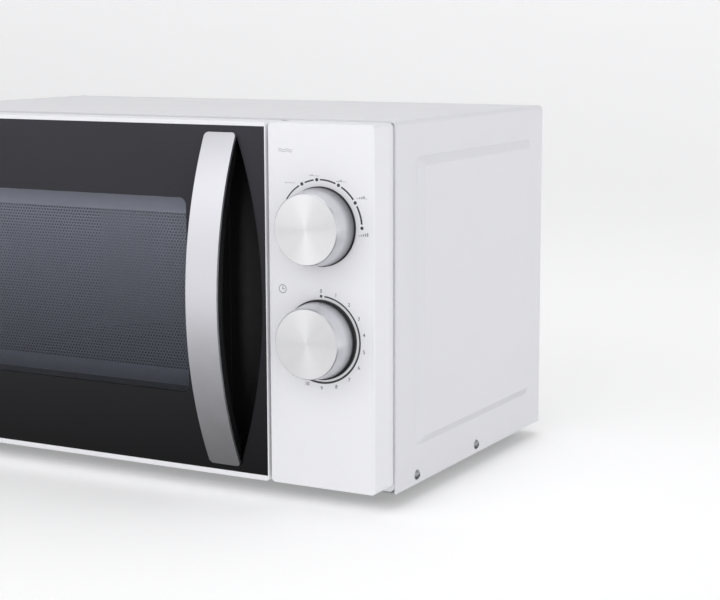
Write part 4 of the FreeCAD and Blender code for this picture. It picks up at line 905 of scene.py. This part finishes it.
def timer_print():
    """The timer's bold arc and its minutes."""
    centre = dial_centre("timer")
    drawn = Print()
    drawn.dot(clock(centre, TIMER_RADIUS, 0), TIMER_LINE[0])
    drawn.arc(centre, TIMER_RADIUS, TIMER_LINE, TIMER_LINE_TURN)
    numbers = [(minute, minute * SINGLE_MINUTE_TURN) for minute in SINGLE_MINUTES]
    for step, minute in enumerate(FIVE_MINUTES):
        numbers.append((minute, FIVE_MINUTES_FROM + step * FIVE_MINUTES_TURN))
    for minute, angle in numbers:
        place = clock(centre, TIMER_NUMBER_RADIUS, angle)
        drawn.number(str(minute), place, TIMER_NUMBER_HEIGHT)
    drawn.finish("timer_scale", DARK_INK)


LEVEL_PLACES_MM = ((-22.7, 28.5), (-4.6, 33.7), (15.2, 30.6), (30.4, 20.4), (31.4, -3.5))
LEVEL_BAR = 0.9 * MM
LEVEL_PITCH = 1.55 * MM
LEVEL_HEIGHT = 2.3 * MM
LEVEL_STUB = 0.15
WAVE_FROM_AXIS = (-26.2 * MM, 48.4 * MM)
WAVE_LENGTH = 10.5 * MM
WAVE_SPACING = 1.2 * MM
WAVE_HEIGHT = 0.35 * MM
WAVE_LINE = 0.3 * MM
WAVE_STEPS = 36
WAVE_CRESTS = 2
CLOCK_FROM_AXIS = (-29.0 * MM, 31.6 * MM)
CLOCK_RADIUS = 2.7 * MM
CLOCK_LINE = 0.5 * MM
MINUTE_HAND = 0.7 * CLOCK_RADIUS
HOUR_HAND = 0.55 * CLOCK_RADIUS


def level_marks(drawn):
    """Small bars at each power setting: they rise one by one from setting to setting, from stubs."""
    centre = dial_centre("power")
    bars = len(LEVEL_PLACES_MM)
    for level, (across, up) in enumerate(LEVEL_PLACES_MM, start=1):
        left = centre[0] + across * MM - (bars - 1) * LEVEL_PITCH / 2
        foot = centre[1] + up * MM - LEVEL_HEIGHT / 2
        for n in range(bars):
            x = left + n * LEVEL_PITCH
            share = (n + 1) / bars if n < level else LEVEL_STUB
            top = foot + LEVEL_HEIGHT * share
            drawn.bar((x - LEVEL_BAR / 2, foot), (x + LEVEL_BAR / 2, top))


def wave_mark(drawn):
    """Two small waves above the power dial."""
    centre = dial_centre("power")
    start = centre[0] + WAVE_FROM_AXIS[0] - WAVE_LENGTH / 2
    half = WAVE_LINE / 2
    for side in (-0.5, 0.5):
        level = centre[1] + WAVE_FROM_AXIS[1] + side * WAVE_SPACING
        line = []
        for k in range(WAVE_STEPS + 1):
            rise = WAVE_HEIGHT * math.sin(2 * math.pi * WAVE_CRESTS * k / WAVE_STEPS)
            line.append((start + WAVE_LENGTH * k / WAVE_STEPS, level + rise))
        for (x0, z0), (x1, z1) in zip(line, line[1:]):
            drawn.solid([(x0, z0 - half), (x1, z1 - half), (x1, z1 + half), (x0, z0 + half)])


def clock_mark(drawn):
    """A clock face above the timer dial, its hands at three."""
    centre = dial_centre("timer")
    x, z = centre[0] + CLOCK_FROM_AXIS[0], centre[1] + CLOCK_FROM_AXIS[1]
    half = CLOCK_LINE / 2
    drawn.arc((x, z), CLOCK_RADIUS, (CLOCK_LINE, CLOCK_LINE), (0, 360))
    drawn.bar((x - half, z), (x + half, z + MINUTE_HAND))
    drawn.bar((x - half, z - half), (x + HOUR_HAND, z + half))


def label_print():
    """Small pictograms on the panel: rising bars, waves and a clock face."""
    drawn = Print()
    level_marks(drawn)
    wave_mark(drawn)
    clock_mark(drawn)
    drawn.finish("panel_pictograms", GREY_INK)


power_print()
timer_print()
label_print()


# ---------------------------------------------------------------- studio

FLOOR_REACH = 5.0
WALL_AT = 3.2
WALL_TOP = 3.0
SWEEP_RADIUS = 1.2
SWEEP_STEPS = 24
FLOOR_GLOW = 0.25
PAPER = (0.95, 0.95, 0.95, 1.0)
GLOW_COLOUR = (1.0, 1.0, 1.0, 1.0)


def studio_floor():
    """A pale floor that sweeps up into the wall behind."""
    profile = [(-FLOOR_REACH, 0.0)]
    for step in range(SWEEP_STEPS + 1):
        angle = math.pi / 2 * step / SWEEP_STEPS
        profile.append(
            (
                WALL_AT - SWEEP_RADIUS + SWEEP_RADIUS * math.sin(angle),
                SWEEP_RADIUS * (1 - math.cos(angle)),
            )
        )
    profile.append((WALL_AT, WALL_TOP))
    points = [(side * FLOOR_REACH, y, z) for y, z in profile for side in (-1, 1)]
    faces = [(2 * k, 2 * k + 1, 2 * k + 3, 2 * k + 2) for k in range(len(profile) - 1)]
    f = Finish("studio_paper", PAPER, Roughness=0.8)
    f.shader.inputs["Emission Color"].default_value = GLOW_COLOUR
    f.shader.inputs["Emission Strength"].default_value = FLOOR_GLOW
    f.tint(f.noise(300 * MM, 2), 0.004)
    f.relief(f.noise(1.5 * MM, 2), 0.02 * MM)
    mesh = mesh_of("studio_floor", points, faces)
    mesh.materials.append(f.material)
    mesh.shade_smooth()
    floor = bpy.data.objects.new("studio_floor", mesh)
    floor.visible_glossy = False
    bpy.context.scene.collection.objects.link(floor)


def aimed(location, target):
    """The rotation that points a lamp's own -Z at the target."""
    return (Vector(target) - Vector(location)).to_track_quat("-Z", "Y").to_euler()


def softbox(name, location, target, size, power):
    """A soft rectangular lamp at a place, pointed at a target."""
    lamp = bpy.data.lights.new(name, "AREA")
    lamp.shape = "RECTANGLE"
    lamp.size, lamp.size_y = size
    lamp.energy = power
    made = bpy.data.objects.new(name, lamp)
    made.location = location
    made.rotation_euler = aimed(location, target)
    bpy.context.scene.collection.objects.link(made)


studio_floor()
softbox("key", (0.1, -0.66, 0.64), (0.12, -0.12, 0.22), (0.6, 0.4), 0.9)
softbox("top", (0.2, 0.2, 2.0), (0, 0, 0), (1.8, 1.6), 11.5)
softbox("right", (1.5, -1.5, 1.0), (0.1, 0, 0.12), (0.9, 0.9), 2.8)
softbox("left", (-1.7, -1.5, 1.0), (-0.1, 0, 0.12), (0.9, 0.9), 2.2)

SKY_TINT = (0.98, 0.98, 1.0)
SKY = (
    (-1.0, 0.00),
    (-0.55, 0.33),
    (-0.3, 0.46),
    (-0.18, 1.02),
    (-0.05, 1.12),
    (0.08, 0.86),
    (0.35, 0.90),
    (1.0, 0.00),
)


def studio_world():
    """Soft light all round, strongest near the horizon and fading to none straight up and down."""
    world = bpy.data.worlds.new("studio")
    world.use_nodes = True
    nodes, links = world.node_tree.nodes, world.node_tree.links
    direction = nodes.new("ShaderNodeTexCoord").outputs["Generated"]
    height = nodes.new("ShaderNodeSeparateXYZ")
    links.new(direction, height.inputs[0])
    level = nodes.new("ShaderNodeMapRange")
    links.new(height.outputs["Z"], level.inputs["Value"])
    level.inputs["From Min"].default_value = -1.0
    ramp = nodes.new("ShaderNodeValToRGB")
    links.new(level.outputs["Result"], ramp.inputs["Fac"])
    stops = ramp.color_ramp.elements
    while len(stops) < len(SKY):
        stops.new(0.5)
    for stop, (up, light) in zip(stops, SKY):
        stop.position = (up + 1) / 2
        stop.color = (*(part * light for part in SKY_TINT), 1.0)
    links.new(ramp.outputs["Color"], nodes["Background"].inputs["Color"])
    nodes["Background"].inputs["Strength"].default_value = 1.0
    bpy.context.scene.world = world


studio_world()
bpy.context.scene.view_settings.view_transform = "Standard"

CAMERA_PLACE = (0.7279, -1.0834, 0.3206)
CAMERA_YAW, CAMERA_PITCH, CAMERA_ROLL = 28.511, 9.160, -0.176
CAMERA_LENS = 85.98
CAMERA_SENSOR = 36

camera = bpy.data.objects.new("camera", bpy.data.cameras.new("camera"))
camera.data.sensor_width = CAMERA_SENSOR
camera.data.lens = CAMERA_LENS
camera.matrix_world = (
    Matrix.Translation(CAMERA_PLACE)
    @ Matrix.Rotation(math.radians(CAMERA_YAW), 4, "Z")
    @ Matrix.Rotation(math.radians(90 - CAMERA_PITCH), 4, "X")
    @ Matrix.Rotation(math.radians(CAMERA_ROLL), 4, "Z")
)
bpy.context.scene.collection.objects.link(camera)
bpy.context.scene.camera = camera
